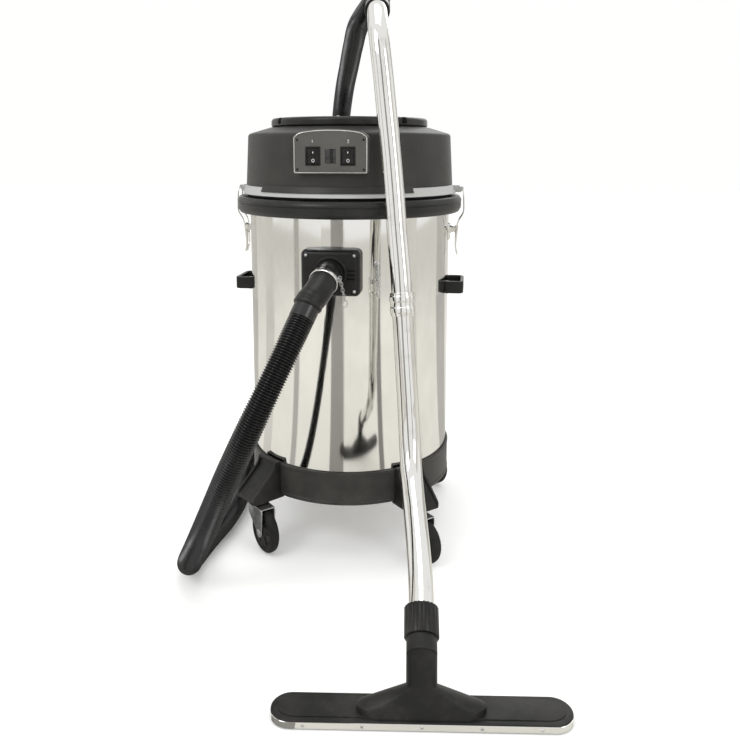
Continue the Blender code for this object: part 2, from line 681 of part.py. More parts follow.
def make_elbow_collar(bend):
    """Bright band round the elbow, just clear of it."""
    middle = bend[len(bend) // 2 - 1]
    along = (bend[len(bend) // 2] - bend[len(bend) // 2 - 2]).normalized()
    r = HOSE_R + ELBOW_WALL + RUN
    profile = [(r, -0.005), (r, 0.005), (r + 0.0016, 0.005), (r + 0.0016, -0.005)]
    bm = turned_along(profile, middle, along, 20)
    from_bmesh("elbow_collar", bm, "chrome")
    return middle, along


def make_collar_chain(start):
    """Short chain that hangs from the collar, with a ring at its foot."""
    fall, sway, ring_r, wire_r = 0.0440, 0.0100, 0.0050, 0.0016
    strand = [start + Vector((sway * t**0.7, -0.001 * t, -fall * t)) for t in (0, 0.3, 0.6, 1)]
    chain = from_bmesh("collar_chain", tube_solid(strand, wire_r, 1), "zinc")
    centre = strand[-1] - Vector((0, 0, ring_r))
    turns, link_r = [2 * pi * k / 6 for k in range(6)], wire_r * 0.6
    section = [(ring_r + link_r * cos(a), link_r * sin(a)) for a in turns]
    combine(chain, turned_along(section, centre, (0, 1, 0), 12), "UNION")


# Head

def band_clearance():
    low, high = BAND_BOTTOM - 0.01, HEAD_BOTTOM + 0.01
    slope = BAND_FLARE / BAND_H
    r_low, r_high = HEAD_R + BAND_FLARE + slope * 0.01, HEAD_R - slope * 0.01
    return turned([(0, high), (r_high + GAP, high), (r_low + GAP, low), (0, low)])


def make_head():
    low, high, inner = BAND_BOTTOM, HEAD_BOTTOM - GAP, HEAD_R - 0.012
    profile = [(inner, low), (inner, high), (HEAD_R, high), (HEAD_R + BAND_FLARE, low)]
    from_bmesh("head_band", turned(profile), "grey_plastic")

    r_low, r_high, t = HEAD_R, head_radius(SHOULDER_Z), HEAD_WALL
    top, hole = CROWN_BOTTOM - GAP, CROWN_R - 0.030
    profile = [
        (r_low - t, HEAD_BOTTOM), (r_high - t, SHOULDER_Z - 0.003), (CROWN_R, top - t), (hole, top - t),
        (hole, top), (CROWN_R + 0.0020, top), (r_high - 0.003, SHOULDER_Z), (r_high, SHOULDER_Z - 0.004),
        (r_low, HEAD_BOTTOM),
    ]
    from_bmesh("head_shell", turned(profile), "dark_plastic", 30)

    low, high, r = CROWN_BOTTOM, CROWN_BOTTOM + CROWN_H, CROWN_R
    profile = [
        (0, high - 0.0040), (r - 0.048, high - 0.0040), (r - 0.042, high), (r - 0.003, high),
        (r, high - 0.003), (r, low + 0.003), (r - 0.003, low), (0, low),
    ]
    cover = from_bmesh("top_cover", turned(profile), "dark_plastic", 30)
    for angle in (-CROWN_SLOT_ANGLE, CROWN_SLOT_ANGLE, CROWN_SLOT_ANGLE - 180, 180 - CROWN_SLOT_ANGLE):
        slot = box((r - 0.030, -CROWN_SLOT / 2, low + 0.005), (r + 0.02, CROWN_SLOT / 2, high + 0.01))
        combine(cover, moved(slot, Matrix.Rotation(radians(angle - 90), 4, "Z")))


def make_panel():
    """Switch panel with an arched top, two pockets for the rockers and a window between them."""
    half, low, arch = PANEL_W / 2, PANEL_BOTTOM, 0.008
    side_top = low + PANEL_H - arch
    foot = side_top - 0.004
    turns = [pi * k / 12 for k in range(1, 12)]
    rise = [(half * cos(turn), foot + (low + PANEL_H - foot) * sin(turn) ** 0.8) for turn in turns]
    outline = [(-half + 0.003, low), (half - 0.003, low), (half, low + 0.003), (half, side_top - 0.006)]
    outline += rise + [(-half, side_top - 0.006), (-half, low + 0.003)]
    front = -(HEAD_R + PANEL_OUT)
    depth = 0.045
    bm = plate(outline, depth)
    bm = rounded(bm, 0.0020, 2, 60)
    bm.transform(Matrix.Translation((0, front + depth / 2, 0)) @ Matrix.Rotation(radians(90), 4, "X"))
    panel = from_bmesh("switch_panel", bm, "black_plastic")
    combine(panel, head_clearance())
    pocket_w, pocket_h, deep = ROCKER_W / 2 + RUN, ROCKER_H / 2 + RUN, 0.0085
    for x in (-ROCKER_X, ROCKER_X):
        pocket = box(
            (x - pocket_w, front - 0.01, ROCKER_Z - pocket_h),
            (x + pocket_w, front + deep, ROCKER_Z + pocket_h),
        )
        combine(panel, pocket)
    window = box((-0.0105, front - 0.01, ROCKER_Z - 0.014), (0.0105, front + 0.0020, ROCKER_Z + 0.014))
    combine(panel, window)
    for name, x in (("left", -ROCKER_X), ("right", ROCKER_X)):
        half_h, y = ROCKER_H / 2, front + 0.0030
        pivot = Vector((x, y, ROCKER_Z))
        outline = [
            (y - 0.0025, -half_h + 0.0010), (y - 0.0046, half_h - 0.0030), (y - 0.0030, half_h - 0.0010),
            (y + 0.0022, half_h - 0.0026), (y + 0.0046, 0.0), (y + 0.0022, -half_h + 0.0026),
            (y - 0.0010, -half_h + 0.0012),
        ]
        bm = plate([(a, b + ROCKER_Z) for a, b in outline], ROCKER_W)
        upright = Matrix.Rotation(radians(90), 4, "Z") @ Matrix.Rotation(radians(90), 4, "X")
        bm.transform(Matrix.Translation((x, 0, 0)) @ upright)
        from_bmesh(f"rocker_switch_{name}", bm, "black_plastic", centre=pivot)


def make_gland():
    """Strain relief of the mains lead, on the back of the head."""
    z = HEAD_BOTTOM + 0.045
    y = HEAD_R
    profile = [
        (0.0040, 0.030), (0.0072, 0.030), (0.0080, 0.008), (0.0130, 0.008), (0.0130, -0.010),
        (0.0040, -0.010),
    ]
    gland = from_bmesh("cable_gland", turned_along(profile, (0, y, z), (0, 1, 0), 20), "rubber")
    combine(gland, head_clearance())


def make_motors():
    deck_r = HEAD_R - 0.012 - GAP
    z0 = DECK_Z
    top = z0 + DECK_T
    profile = [(0, top), (deck_r, top), (deck_r, z0), (0, z0)]
    deck = from_bmesh("motor_deck", turned(profile), "black_plastic")
    for side, x in (("left", -MOTOR_X), ("right", MOTOR_X)):
        combine(deck, pin_solid(0.030, (x, 0, z0 - 0.01), (x, 0, top + 0.01), 12))
        foot = top + GAP
        head = foot + MOTOR_H
        core, skirt = MOTOR_R - 0.016, foot + 0.032
        bore = 0.0060
        profile = [
            (0, head), (core, head), (core, skirt), (MOTOR_R, skirt - 0.002), (MOTOR_R, foot),
            (MOTOR_R - 0.003, foot), (MOTOR_R - 0.003, skirt - 0.008), (bore, skirt - 0.008),
            (bore, skirt + 0.030), (0, skirt + 0.030),
        ]
        motor = turned_along(profile, (x, 0, 0), (0, 0, 1), 20)
        from_bmesh(f"motor_{side}", motor, "motor_metal")
        blades = 9
        rim, root_r = MOTOR_R - 0.006, 0.024
        outline = []
        for k in range(blades):
            a = 2 * pi * k / blades
            for r, turn_by in ((root_r, 0.0), (rim, 0.24), (rim, 0.32), (root_r, 0.12)):
                outline.append((x + r * cos(a + turn_by), r * sin(a + turn_by)))
        low = foot + 0.006
        bm = moved(plate(outline, 0.012), Matrix.Translation((0, 0, low + 0.006)))
        fan = from_bmesh(f"fan_{side}", bm, "motor_metal", centre=(x, 0, low))
        shaft = pin_solid(bore - RUN, (x, 0, low + 0.002), (x, 0, skirt + 0.030 - RUN), 16)
        combine(fan, shaft, "UNION")

    roof = z0 - GAP
    low = roof - FILTER_L
    r, t = FILTER_R, 0.012
    pleats, outline = 18, []
    for k in range(pleats):
        for j, depth in ((0, 0.0), (1, 0.006)):
            a = 2 * pi * (k + j / 2) / pleats
            outline.append(((r - depth) * cos(a), (r - depth) * sin(a)))
    bm = moved(plate(outline, FILTER_L), Matrix.Translation((0, 0, low + FILTER_L / 2)))
    filter_piece = from_bmesh("cartridge_filter", bm, "filter_paper", 20)
    combine(filter_piece, pin_solid(r - t, (0, 0, low - 0.01), (0, 0, roof + 0.01), 24))

    r, t = CAGE_R, 0.0025
    low = roof - CAGE_L
    profile = [(0, low + t), (r - t, low + t), (r - t, roof), (r, roof), (r, low), (0, low)]
    cage = from_bmesh("float_cage", turned(profile, 24), "black_plastic")
    for angle in (0, 90):
        slot = box((-r - 0.01, -0.010, low + 0.020), (r + 0.01, 0.010, roof - 0.030))
        combine(cage, moved(slot, Matrix.Rotation(radians(angle), 4, "Z")))
    ball = bmesh.new()
    bmesh.ops.create_uvsphere(ball, u_segments=14, v_segments=8, radius=BALL_R)
    centre = Vector((0, 0, low + t + BALL_R + GAP))
    from_bmesh("float_ball", moved(ball, Matrix.Translation(centre)), "grey_plastic", 60, centre=centre)


# Wand, floor tool and hose

def hollow(points, radius, bore):
    """Bmeshes of a tube and of the cutter that bores it right through."""
    start = points[0] + (points[0] - points[1]).normalized() * 0.004
    end = points[-1] + (points[-1] - points[-2]).normalized() * 0.004
    return tube_solid(points, radius, 2), tube_solid([start, *points[1:-1], end], bore, 2)


def make_wand():
    lower = smooth_points(LOWER_WAND, 0.044)
    outer, inner = hollow(lower, WAND_R, WAND_R - WAND_WALL)
    combine(from_bmesh("lower_wand", outer, "chrome", 60), inner)
    upper = smooth_points(UPPER_WAND, 0.044)
    upper[-2] = WAND_END - WAND_AWAY * 1.5 * CUFF_GRIP
    outer, inner = hollow(upper, WAND_R - 0.0004, WAND_R - WAND_WALL - 0.0004)
    combine(from_bmesh("upper_wand", outer, "chrome", 60), inner)

    # The lock collar covers the slip joint between the two tubes.
    joint = LOWER_WAND[-1]
    along = (UPPER_WAND[1] - LOWER_WAND[-2]).normalized()
    r = WAND_R + RUN
    profile = [
        (r, -0.022), (r, 0.022), (r + 0.0020, 0.022), (r + 0.0035, 0.018), (r + 0.0035, -0.018),
        (r + 0.0020, -0.022),
    ]
    from_bmesh("wand_lock_collar", turned_along(profile, joint, along, 16), "chrome")

    # The hose's cuff turns on the upper tube's end.
    r, full = WAND_R + RUN, CUFF_GRIP + CUFF_L
    seat = WAND_END - WAND_AWAY * CUFF_GRIP
    stop = CUFF_GRIP + GAP
    profile = [
        (r, 0), (r, stop), (r - 0.0045, stop), (r - 0.0045, full), (HOSE_R + 0.0005, full),
        (HOSE_R + 0.0015, full * 0.6), (HOSE_R + 0.0005, full * 0.55), (WAND_R + 0.0045, 0),
    ]
    cuff = turned_along(profile, seat, WAND_AWAY, 20)
    from_bmesh("hose_cuff", cuff, "black_plastic", 50, centre=seat)


def tool_frame():
    return Matrix.Translation((TOOL_X, TOOL_Y, 0)) @ Matrix.Rotation(radians(TOOL_TURN), 4, "Z")


def make_tool():
    """Wide floor tool: stadium plate, raised housing and neck in one body, lips and bright strip below."""
    frame = tool_frame()
    half, r = TOOL_W / 2, TOOL_D / 2
    ends = [pi * k / 8 for k in range(9)]
    outline = [(half - r + r * sin(a), -r * cos(a)) for a in ends]
    outline += [(-half + r - r * sin(a), r * cos(a)) for a in ends]
    low = TOOL_CLEAR
    bm = rounded(plate(outline, TOOL_H), TOOL_H * 0.3, 1, 60)
    bm.transform(frame @ Matrix.Translation((0, 0, low + TOOL_H / 2)))
    body = from_bmesh("floor_tool_body", bm, "black_plastic", 45)

    neck_foot = LOWER_WAND[0]
    along = (LOWER_WAND[1] - LOWER_WAND[0]).normalized()
    inverse = frame.inverted()
    neck_in = inverse @ (neck_foot - along * 0.050)
    top = low + TOOL_H
    loft = bmesh.new()
    rings = []
    # From a wide low rectangle on the plate to the round neck.
    neck_axis = (inverse.to_3x3() @ along).normalized()
    side = Vector((1, 0, 0))
    up = neck_axis.cross(side).normalized() * -1
    for share in (0.0, SHOULDER_FROM, SHOULDER_TO, 0.75, 1.0):
        ring = []
        for k in range(16):
            a = 2 * pi * k / 16
            square = abs(cos(a)) ** -0.35 if abs(cos(a)) > 0.05 else 1
            flat = Vector((HOUSING_W / 2 * max(-1, min(1, cos(a) * square)), 0, top - 0.002))
            flat.y = HOUSING_D / 2 * max(-1, min(1, 1.25 * sin(a))) - 0.003
            round_end = neck_in + side * (NECK_R * cos(a)) + up * (-NECK_R * sin(a))
            blend_by = max(0.0, min(1.0, (share - SHOULDER_FROM) / (SHOULDER_TO - SHOULDER_FROM)))
            mixed = flat.lerp(round_end, share)
            mixed.x = flat.x + (round_end.x - flat.x) * blend_by
            ring.append(loft.verts.new(mixed))
        rings.append(ring)
    for a, b in zip(rings, rings[1:]):
        for k in range(16):
            loft.faces.new((a[k], a[(k + 1) % 16], b[(k + 1) % 16], b[k]))
    loft.faces.new(rings[0][::-1])
    loft.faces.new(rings[-1])
    bmesh.ops.recalc_face_normals(loft, faces=loft.faces)
    combine(body, moved(loft, frame), "UNION")
    neck = pin_solid(NECK_R, neck_foot - along * 0.054, neck_foot - along * (COLLAR_BELOW + GAP), 24)
    combine(body, neck, "UNION")

    # The fluted collar clamps the wand in the neck.
    flutes, outline = 18, []
    for k in range(flutes):
        for j, grow in ((0.0, 0.0), (0.5, 0.0016)):
            a = 2 * pi * (k + j) / flutes
            outline.append(((NECK_R + 0.0020 + grow) * cos(a), (NECK_R + 0.0020 + grow) * sin(a)))
    bm = plate(outline, COLLAR_ABOVE + COLLAR_BELOW)
    turn = along.to_track_quat("Z", "Y").to_matrix().to_4x4()
    middle = neck_foot + along * (COLLAR_ABOVE - COLLAR_BELOW) / 2
    bm.transform(Matrix.Translation(middle) @ turn)
    collar = from_bmesh("floor_tool_collar", bm, "black_plastic", 20)
    combine(collar, pin_solid(WAND_R + RUN, neck_foot - along * 0.003, neck_foot + along * 0.03, 24))

    # A bright strip clamps the front lip. Both lips stand on the floor.
    front, t = -r, 0.0012
    strip_low, strip_high = 0.0015, low + TOOL_H - 0.001
    bm = box((-half + r, front - t - GAP, strip_low), (half - r, front - GAP, strip_high), 0.0004, 1)
    from_bmesh("floor_tool_strip", moved(bm, frame), "chrome")
    for name, y, width in (("front", front + 0.006, half - r), ("rear", r - 0.008, half - r)):
        bm = box((-width, y - 0.0020, 0), (width, y + 0.0020, low - GAP))
        from_bmesh(f"squeegee_{name}", moved(bm, frame), "rubber")


def make_hose():
    cuff_end = WAND_END + WAND_AWAY * (CUFF_L + GAP)
    straight = cuff_end + WAND_AWAY * 1.2 * HOSE_R
    route = [*HOSE_ROUTE, straight, cuff_end]
    points = smooth_points(route, HOSE_STEP)
    points[-2] = cuff_end + WAND_AWAY * HOSE_STEP
    tube_curve("hose", points, HOSE_R, "hose_black", 2)


def centre_on_footprint():
    """Moves the root so that the object without its hose is centred on its footprint and stands on z = 0."""
    bpy.context.view_layer.update()
    graph = bpy.context.evaluated_depsgraph_get()
    low, high = Vector((9, 9, 9)), Vector((-9, -9, -9))
    for piece in PARTS.objects:
        if piece.type == "EMPTY" or piece.name == "hose":
            continue
        shape = piece.evaluated_get(graph)
        mesh = shape.to_mesh()
        for vertex in mesh.vertices:
            place = shape.matrix_world @ vertex.co
            low = Vector(map(min, low, place))
            high = Vector(map(max, high, place))
        shape.to_mesh_clear()
    ROOT.location = (-(low.x + high.x) / 2, -(low.y + high.y) / 2, -low.z)
    bpy.context.view_layer.update()


make_drum()
make_rim()
make_base()
for corner_name, corner_angle in CORNERS.items():
    make_bracket(corner_name, corner_angle)
    make_caster(corner_name, corner_angle)
for side_name, side_angle in SIDE_ANGLES.items():
    make_handle(side_name, side_angle)
    make_latch(side_name)
elbow_bend = make_inlet()
collar_at, collar_along = make_elbow_collar(elbow_bend)
make_collar_chain(collar_at + Vector((HOSE_R + 0.0070, -0.004, 0.0100)))
make_head()
make_panel()
make_gland()
make_motors()
make_wand()
make_tool()
make_hose()
centre_on_footprint()
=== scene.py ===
"""Wet and dry shop vacuum: the looks of its drum, head, casters, latches, hose, wand and floor tool.

Metres, +Z up, front towards -Y. Each piece is modelled round the drum's axis, as drum
coordinates, and its object then stands at the axis.
"""

import json
from math import cos, pi, radians, sin

import bmesh
import bpy
from mathutils import Matrix, Vector

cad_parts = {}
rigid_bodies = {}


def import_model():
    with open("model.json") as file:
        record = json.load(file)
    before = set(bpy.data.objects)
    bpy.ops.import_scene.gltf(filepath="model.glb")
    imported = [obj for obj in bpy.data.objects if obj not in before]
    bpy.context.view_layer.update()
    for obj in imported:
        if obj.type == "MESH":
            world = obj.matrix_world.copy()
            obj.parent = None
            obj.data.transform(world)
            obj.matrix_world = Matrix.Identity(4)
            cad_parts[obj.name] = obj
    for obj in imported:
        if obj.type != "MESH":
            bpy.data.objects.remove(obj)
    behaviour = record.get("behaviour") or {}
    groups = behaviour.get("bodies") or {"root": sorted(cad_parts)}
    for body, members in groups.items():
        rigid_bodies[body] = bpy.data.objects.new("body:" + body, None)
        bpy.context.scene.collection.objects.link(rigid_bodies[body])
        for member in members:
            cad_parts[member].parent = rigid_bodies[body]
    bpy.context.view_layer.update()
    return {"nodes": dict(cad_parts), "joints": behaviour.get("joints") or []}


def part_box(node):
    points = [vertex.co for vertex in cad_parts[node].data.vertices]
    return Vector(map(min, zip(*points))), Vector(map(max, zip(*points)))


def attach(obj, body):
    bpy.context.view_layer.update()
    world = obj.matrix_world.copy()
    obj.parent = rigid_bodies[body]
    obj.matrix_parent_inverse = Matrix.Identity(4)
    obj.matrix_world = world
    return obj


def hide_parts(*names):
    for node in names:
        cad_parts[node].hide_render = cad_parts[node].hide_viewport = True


for old in list(bpy.data.objects):
    bpy.data.objects.remove(old, do_unlink=True)
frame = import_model()


# Measures. Those that no box of the frame gives are repeated from the solids.

def low(node):
    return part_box(node)[0]


def high(node):
    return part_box(node)[1]


def radius_of(node):
    return (high(node).x - low(node).x) / 2


def middle_of(node):
    return (low(node) + high(node)) / 2


AXIS = Vector((*middle_of("drum").xy, 0))
JOINTS = {joint["name"]: joint for joint in frame["joints"]}
GAP = 0.0003

DRUM_R, DRUM_LOW, DRUM_TOP = radius_of("drum"), low("drum").z, high("drum").z
DRUM_WALL = 0.0012
RIM_R, RIM_LOW, RIM_TOP = radius_of("rim_bumper"), low("rim_bumper").z, high("rim_bumper").z
SEAL_TOP = high("rim_seal").z
BASE_R, BASE_LOW, BASE_TOP = radius_of("base_ring"), low("base_ring").z, high("base_ring").z
BAND_R, BAND_LOW = radius_of("head_band"), low("head_band").z
HEAD_R, HEAD_LOW = radius_of("head_shell"), low("head_shell").z
CROWN_R, CROWN_LOW, CROWN_TOP = radius_of("top_cover"), low("top_cover").z, high("top_cover").z
SHOULDER_Z = CROWN_LOW - 0.0140
SHOULDER_R = HEAD_R - 0.0054
PANEL_LOW, PANEL_TOP = low("switch_panel").z, high("switch_panel").z
PANEL_HALF = radius_of("switch_panel")
PANEL_FACE = low("switch_panel").y - AXIS.y
INLET = middle_of("inlet_box") - AXIS
INLET_HALF_W, INLET_FACE = radius_of("inlet_box"), low("inlet_box").y - AXIS.y
INLET_HALF_H = (high("inlet_box").z - low("inlet_box").z) / 2
HANDLE = middle_of("carry_handle_right") - AXIS
HANDLE_OUT = high("carry_handle_right").x - AXIS.x
HANDLE_HALF_L = (high("carry_handle_right").y - low("carry_handle_right").y) / 2
HANDLE_H = high("carry_handle_right").z - low("carry_handle_right").z
WHEEL_R, WHEEL_W = 0.0470, 0.0240
WAND_R, HOSE_R = 0.0200, 0.0240
SIDES = {"left": -1, "right": 1}
CORNERS = {"front_left": -41, "front_right": 41, "rear_left": -139, "rear_right": 139}


# The curved routes, in drum coordinates

LOWER_WAND_FROM_RIM = [
    (0.2040, -0.3505, 0.1260), (0.2010, -0.3145, 0.1480), (0.1950, -0.2675, 0.1730),
    (0.1870, -0.2175, 0.1990), (0.1780, -0.1675, 0.2270), (0.1710, -0.1285, 0.2560),
    (0.1660, -0.1005, 0.2920), (0.1620, -0.0845, 0.3370), (0.1580, -0.0745, 0.3900),
    (0.1530, -0.0645, 0.4500), (0.1478, -0.0540, 0.5200), (0.1448, -0.0480, 0.5600),
]
UPPER_WAND_FROM_RIM = [
    (0.1446, -0.0476, 0.5626), (0.1400, -0.0385, 0.6200), (0.1320, -0.0225, 0.6900),
    (0.1250, -0.0085, 0.7600), (0.1170, 0.0005, 0.8400), (0.1080, 0.0075, 0.9200),
    (0.0990, 0.0145, 1.0000), (0.0920, 0.0235, 1.0500), (0.0870, 0.0415, 1.0850),
    (0.0830, 0.0675, 1.1080), (0.0795, 0.0975, 1.1180),
]
HOSE_ROUTE = [
    (-0.0240, -0.3560, 0.5620), (-0.0520, -0.4060, 0.4900), (-0.0940, -0.4450, 0.3940),
    (-0.1400, -0.4560, 0.2940), (-0.1850, -0.4430, 0.1960), (-0.2260, -0.4130, 0.1130),
    (-0.2580, -0.3700, 0.0560), (-0.2760, -0.3100, 0.0280), (-0.2740, -0.2400, 0.0250),
    (-0.2670, -0.1700, 0.0250), (-0.2620, -0.1000, 0.0250), (-0.2700, 0.0000, 0.0250),
    (-0.2880, 0.1000, 0.0250), (-0.3000, 0.2000, 0.0250), (-0.2880, 0.3000, 0.0260),
    (-0.2450, 0.3800, 0.0350), (-0.1900, 0.4280, 0.0850), (-0.1500, 0.4460, 0.1700),
    (-0.1280, 0.4480, 0.2900), (-0.1160, 0.4400, 0.4200), (-0.1080, 0.4280, 0.5500),
    (-0.1010, 0.4120, 0.6800), (-0.0930, 0.3900, 0.8000), (-0.0800, 0.3500, 0.9050),
    (-0.0580, 0.2820, 0.9900), (-0.0304, 0.1978, 1.0520), (-0.0008, 0.1007, 1.1050),
    (0.0300, 0.0250, 1.1420),
]
HOSE_STEP = 0.0850
CUFF_L, CUFF_GRIP = 0.0700, 0.0220

LOWER_WAND = [Vector((x, y - RIM_R, z)) for x, y, z in LOWER_WAND_FROM_RIM]
UPPER_WAND = [Vector((x, y - RIM_R, z)) for x, y, z in UPPER_WAND_FROM_RIM]
WAND_END = UPPER_WAND[-1]
WAND_AWAY = (WAND_END - UPPER_WAND[-2]).normalized()
CUFF_END = WAND_END + WAND_AWAY * (CUFF_L + GAP)


def smooth_points(points, step):
    """Points a step apart on the Catmull-Rom curve through the given ones."""
    route = [Vector(p) for p in points]
    route = [2 * route[0] - route[1]] + route + [2 * route[-1] - route[-2]]
    fine = []
    for a, b, c, d in zip(route, route[1:], route[2:], route[3:]):
        for k in range(16):
            t = k / 16
            square, cube = 2 * a - 5 * b + 4 * c - d, 3 * b - a - 3 * c + d
            fine.append(0.5 * (2 * b + (c - a) * t + square * t**2 + cube * t**3))
    fine.append(route[-2])
    lengths = [0.0]
    for a, b in zip(fine, fine[1:]):
        lengths.append(lengths[-1] + (b - a).length)
    count = max(2, round(lengths[-1] / step))
    spaced, j = [], 0
    for i in range(count + 1):
        want = lengths[-1] * i / count
        while j < len(fine) - 2 and lengths[j + 1] < want:
            j += 1
        spaced.append(fine[j].lerp(fine[j + 1], (want - lengths[j]) / (lengths[j + 1] - lengths[j])))
    return spaced


HOSE_POINTS = smooth_points([*HOSE_ROUTE, CUFF_END + WAND_AWAY * 1.2 * HOSE_R, CUFF_END], HOSE_STEP)
HOSE_POINTS[-2] = CUFF_END + WAND_AWAY * HOSE_STEP
ELBOW_DOWN = (HOSE_POINTS[1] - HOSE_POINTS[0]).normalized()
ELBOW_END = HOSE_POINTS[0] - ELBOW_DOWN * GAP


# Shader work

class Wire:
    """One shader socket. Arithmetic on it adds Math nodes to its tree."""

    def __init__(self, tree, socket):
        self.tree, self.socket = tree, socket

    def into(self, socket):
        self.tree.links.new(self.socket, socket)

    def maths(self, operation, *terms):
        node = self.tree.nodes.new("ShaderNodeMath")
        node.operation = operation
        for socket, term in zip(node.inputs, terms):
            join_up(socket, term)
        return Wire(self.tree, node.outputs[0])

    def __add__(self, other):
        return self.maths("ADD", self, other)

    def __radd__(self, other):
        return self.maths("ADD", other, self)

    def __sub__(self, other):
        return self.maths("SUBTRACT", self, other)

    def __rsub__(self, other):
        return self.maths("SUBTRACT", other, self)

    def __mul__(self, other):
        return self.maths("MULTIPLY", self, other)

    def __rmul__(self, other):
        return self.maths("MULTIPLY", other, self)


def join_up(socket, value):
    """Links a wire to a socket, or sets the socket's own value."""
    if isinstance(value, Wire):
        value.into(socket)
    else:
        socket.default_value = value


class Finish:
    """A material under way: its Principled shader and the nodes that feed it."""

    def __init__(self, name, colour, roughness, metallic=0.0, **fixed):
        self.material = bpy.data.materials.new(name)
        self.material.use_nodes = True
        self.material.diffuse_color = (*colour, 1.0)
        self.tree = self.material.node_tree
        self.shader = self.tree.nodes["Principled BSDF"]
        self.shader.inputs["Base Color"].default_value = (*colour, 1.0)
        self.shader.inputs["Roughness"].default_value = roughness
        self.shader.inputs["Metallic"].default_value = metallic
        for socket, value in fixed.items():
            self.shader.inputs[socket.replace("_", " ").title().replace("Ior", "IOR")].default_value = value
        self.spot = self.node("ShaderNodeTexCoord", out="Object")

    def node(self, kind, settings=(), out=0, sockets=()):
        """A node with its settings made first, then its sockets. Returns one of its outputs."""
        made = self.tree.nodes.new(kind)
        for name, value in dict(settings).items():
            setattr(made, name, value)
        for name, value in dict(sockets).items():
            join_up(made.inputs[name], value)
        return Wire(self.tree, made.outputs[out])

    def stretched(self, x, y, z):
        settings = {"operation": "MULTIPLY"}
        return self.node("ShaderNodeVectorMath", settings, 0, {0: self.spot, 1: (x, y, z)})

    def noise(self, scale, detail=3.0, rough=0.55, stretch=(1, 1, 1)):
        sockets = {"Vector": self.stretched(*stretch), "Scale": scale, "Detail": detail, "Roughness": rough}
        return self.node("ShaderNodeTexNoise", out=0, sockets=sockets)

    def cells(self, scale, feature="F1", stretch=(1, 1, 1)):
        sockets = {"Vector": self.stretched(*stretch), "Scale": scale}
        return self.node("ShaderNodeTexVoronoi", {"feature": feature}, "Distance", sockets)

    def step(self, value, start, end):
        """0 before start and 1 after end, with a soft step between."""
        settings = {"interpolation_type": "SMOOTHSTEP"}
        return self.node("ShaderNodeMapRange", settings, 0, {0: value, 1: start, 2: end})

    def height(self):
        return self.node("ShaderNodeSeparateXYZ", (), "Z", {0: self.spot})

    def mix(self, factor, first, second):
        settings = {"data_type": "RGBA"}
        one = first if isinstance(first, Wire) else (*first, 1.0)
        two = second if isinstance(second, Wire) else (*second, 1.0)
        return self.node("ShaderNodeMix", settings, 2, {0: factor, 6: one, 7: two})

    def colour(self, wire):
        wire.into(self.shader.inputs["Base Color"])
        return self

    def roughness(self, wire):
        wire.into(self.shader.inputs["Roughness"])
        return self

    def relief(self, height, depth, strength=1.0):
        """Surface relief of a height wire, depth metres deep."""
        sockets = {"Height": height, "Distance": depth, "Strength": strength}
        self.node("ShaderNodeBump", (), 0, sockets).into(self.shader.inputs["Normal"])
        return self


def mirror_steel():
    """Polished stainless sheet: fine polishing lines round the drum, a slight ripple, and soft upright
    patches that are rougher smudges and also darker painted reflection bands.
    """
    steel = Finish("mirror_steel", (0.86, 0.86, 0.84), 0.05, 1.0)
    lines = steel.noise(1.0, 2.0, stretch=(6, 6, 1400))
    smudges_and_reflection_bands = steel.step(steel.noise(5.0, 5.0, 0.62, (1, 1, 0.55)), 0.50, 0.78)
    ripple = steel.noise(2.4, 1.0, 0.4, (1, 1, 0.5))
    # The darker tone of these patches is painted reflection: upright bands of shade that stand in for dark
    # surroundings seen in the steel.
    steel.colour(steel.mix(smudges_and_reflection_bands, (0.80, 0.795, 0.77), (0.70, 0.69, 0.655)))
    steel.roughness(0.050 + lines * 0.040 + smudges_and_reflection_bands * 0.050)
    return steel.relief(ripple + lines * 0.004, 0.0009, 0.55).material


def chrome(name="chrome", tint=(0.78, 0.775, 0.75)):
    """Bright plated tube and fittings, with hairlines, dull patches and a few pits."""
    plate = Finish(name, tint, 0.06, 1.0)
    hair = plate.noise(260.0, 2.0, 0.5, (1, 1, 0.08))
    dull = plate.step(plate.noise(22.0, 5.0, 0.6), 0.52, 0.80)
    pits = 1 - plate.step(plate.cells(420.0), 0.04, 0.11)
    rare = plate.step(plate.noise(30.0, 2.0), 0.60, 0.72)
    spots = pits * rare
    plate.colour(plate.mix(spots * 0.8, plate.mix(dull, tint, (0.62, 0.61, 0.58)), (0.20, 0.18, 0.16)))
    plate.roughness(0.035 + hair * 0.04 + dull * 0.07 + spots * 0.4)
    return plate.relief(hair * 0.3 - spots, 0.00008, 0.6).material


def zinc():
    """Zinc plated pressings: a cloudy grey with a faint spangle."""
    plate = Finish("zinc", (0.60, 0.61, 0.62), 0.34, 1.0)
    spangle = plate.cells(170.0)
    cloud = plate.noise(38.0, 5.0, 0.65)
    plate.colour(plate.mix(plate.step(cloud, 0.35, 0.70), (0.69, 0.70, 0.71), (0.43, 0.43, 0.42)))
    plate.roughness(0.22 + spangle * 0.22 + cloud * 0.18)
    return plate.relief(spangle * 0.4 + cloud, 0.00012, 0.7).material


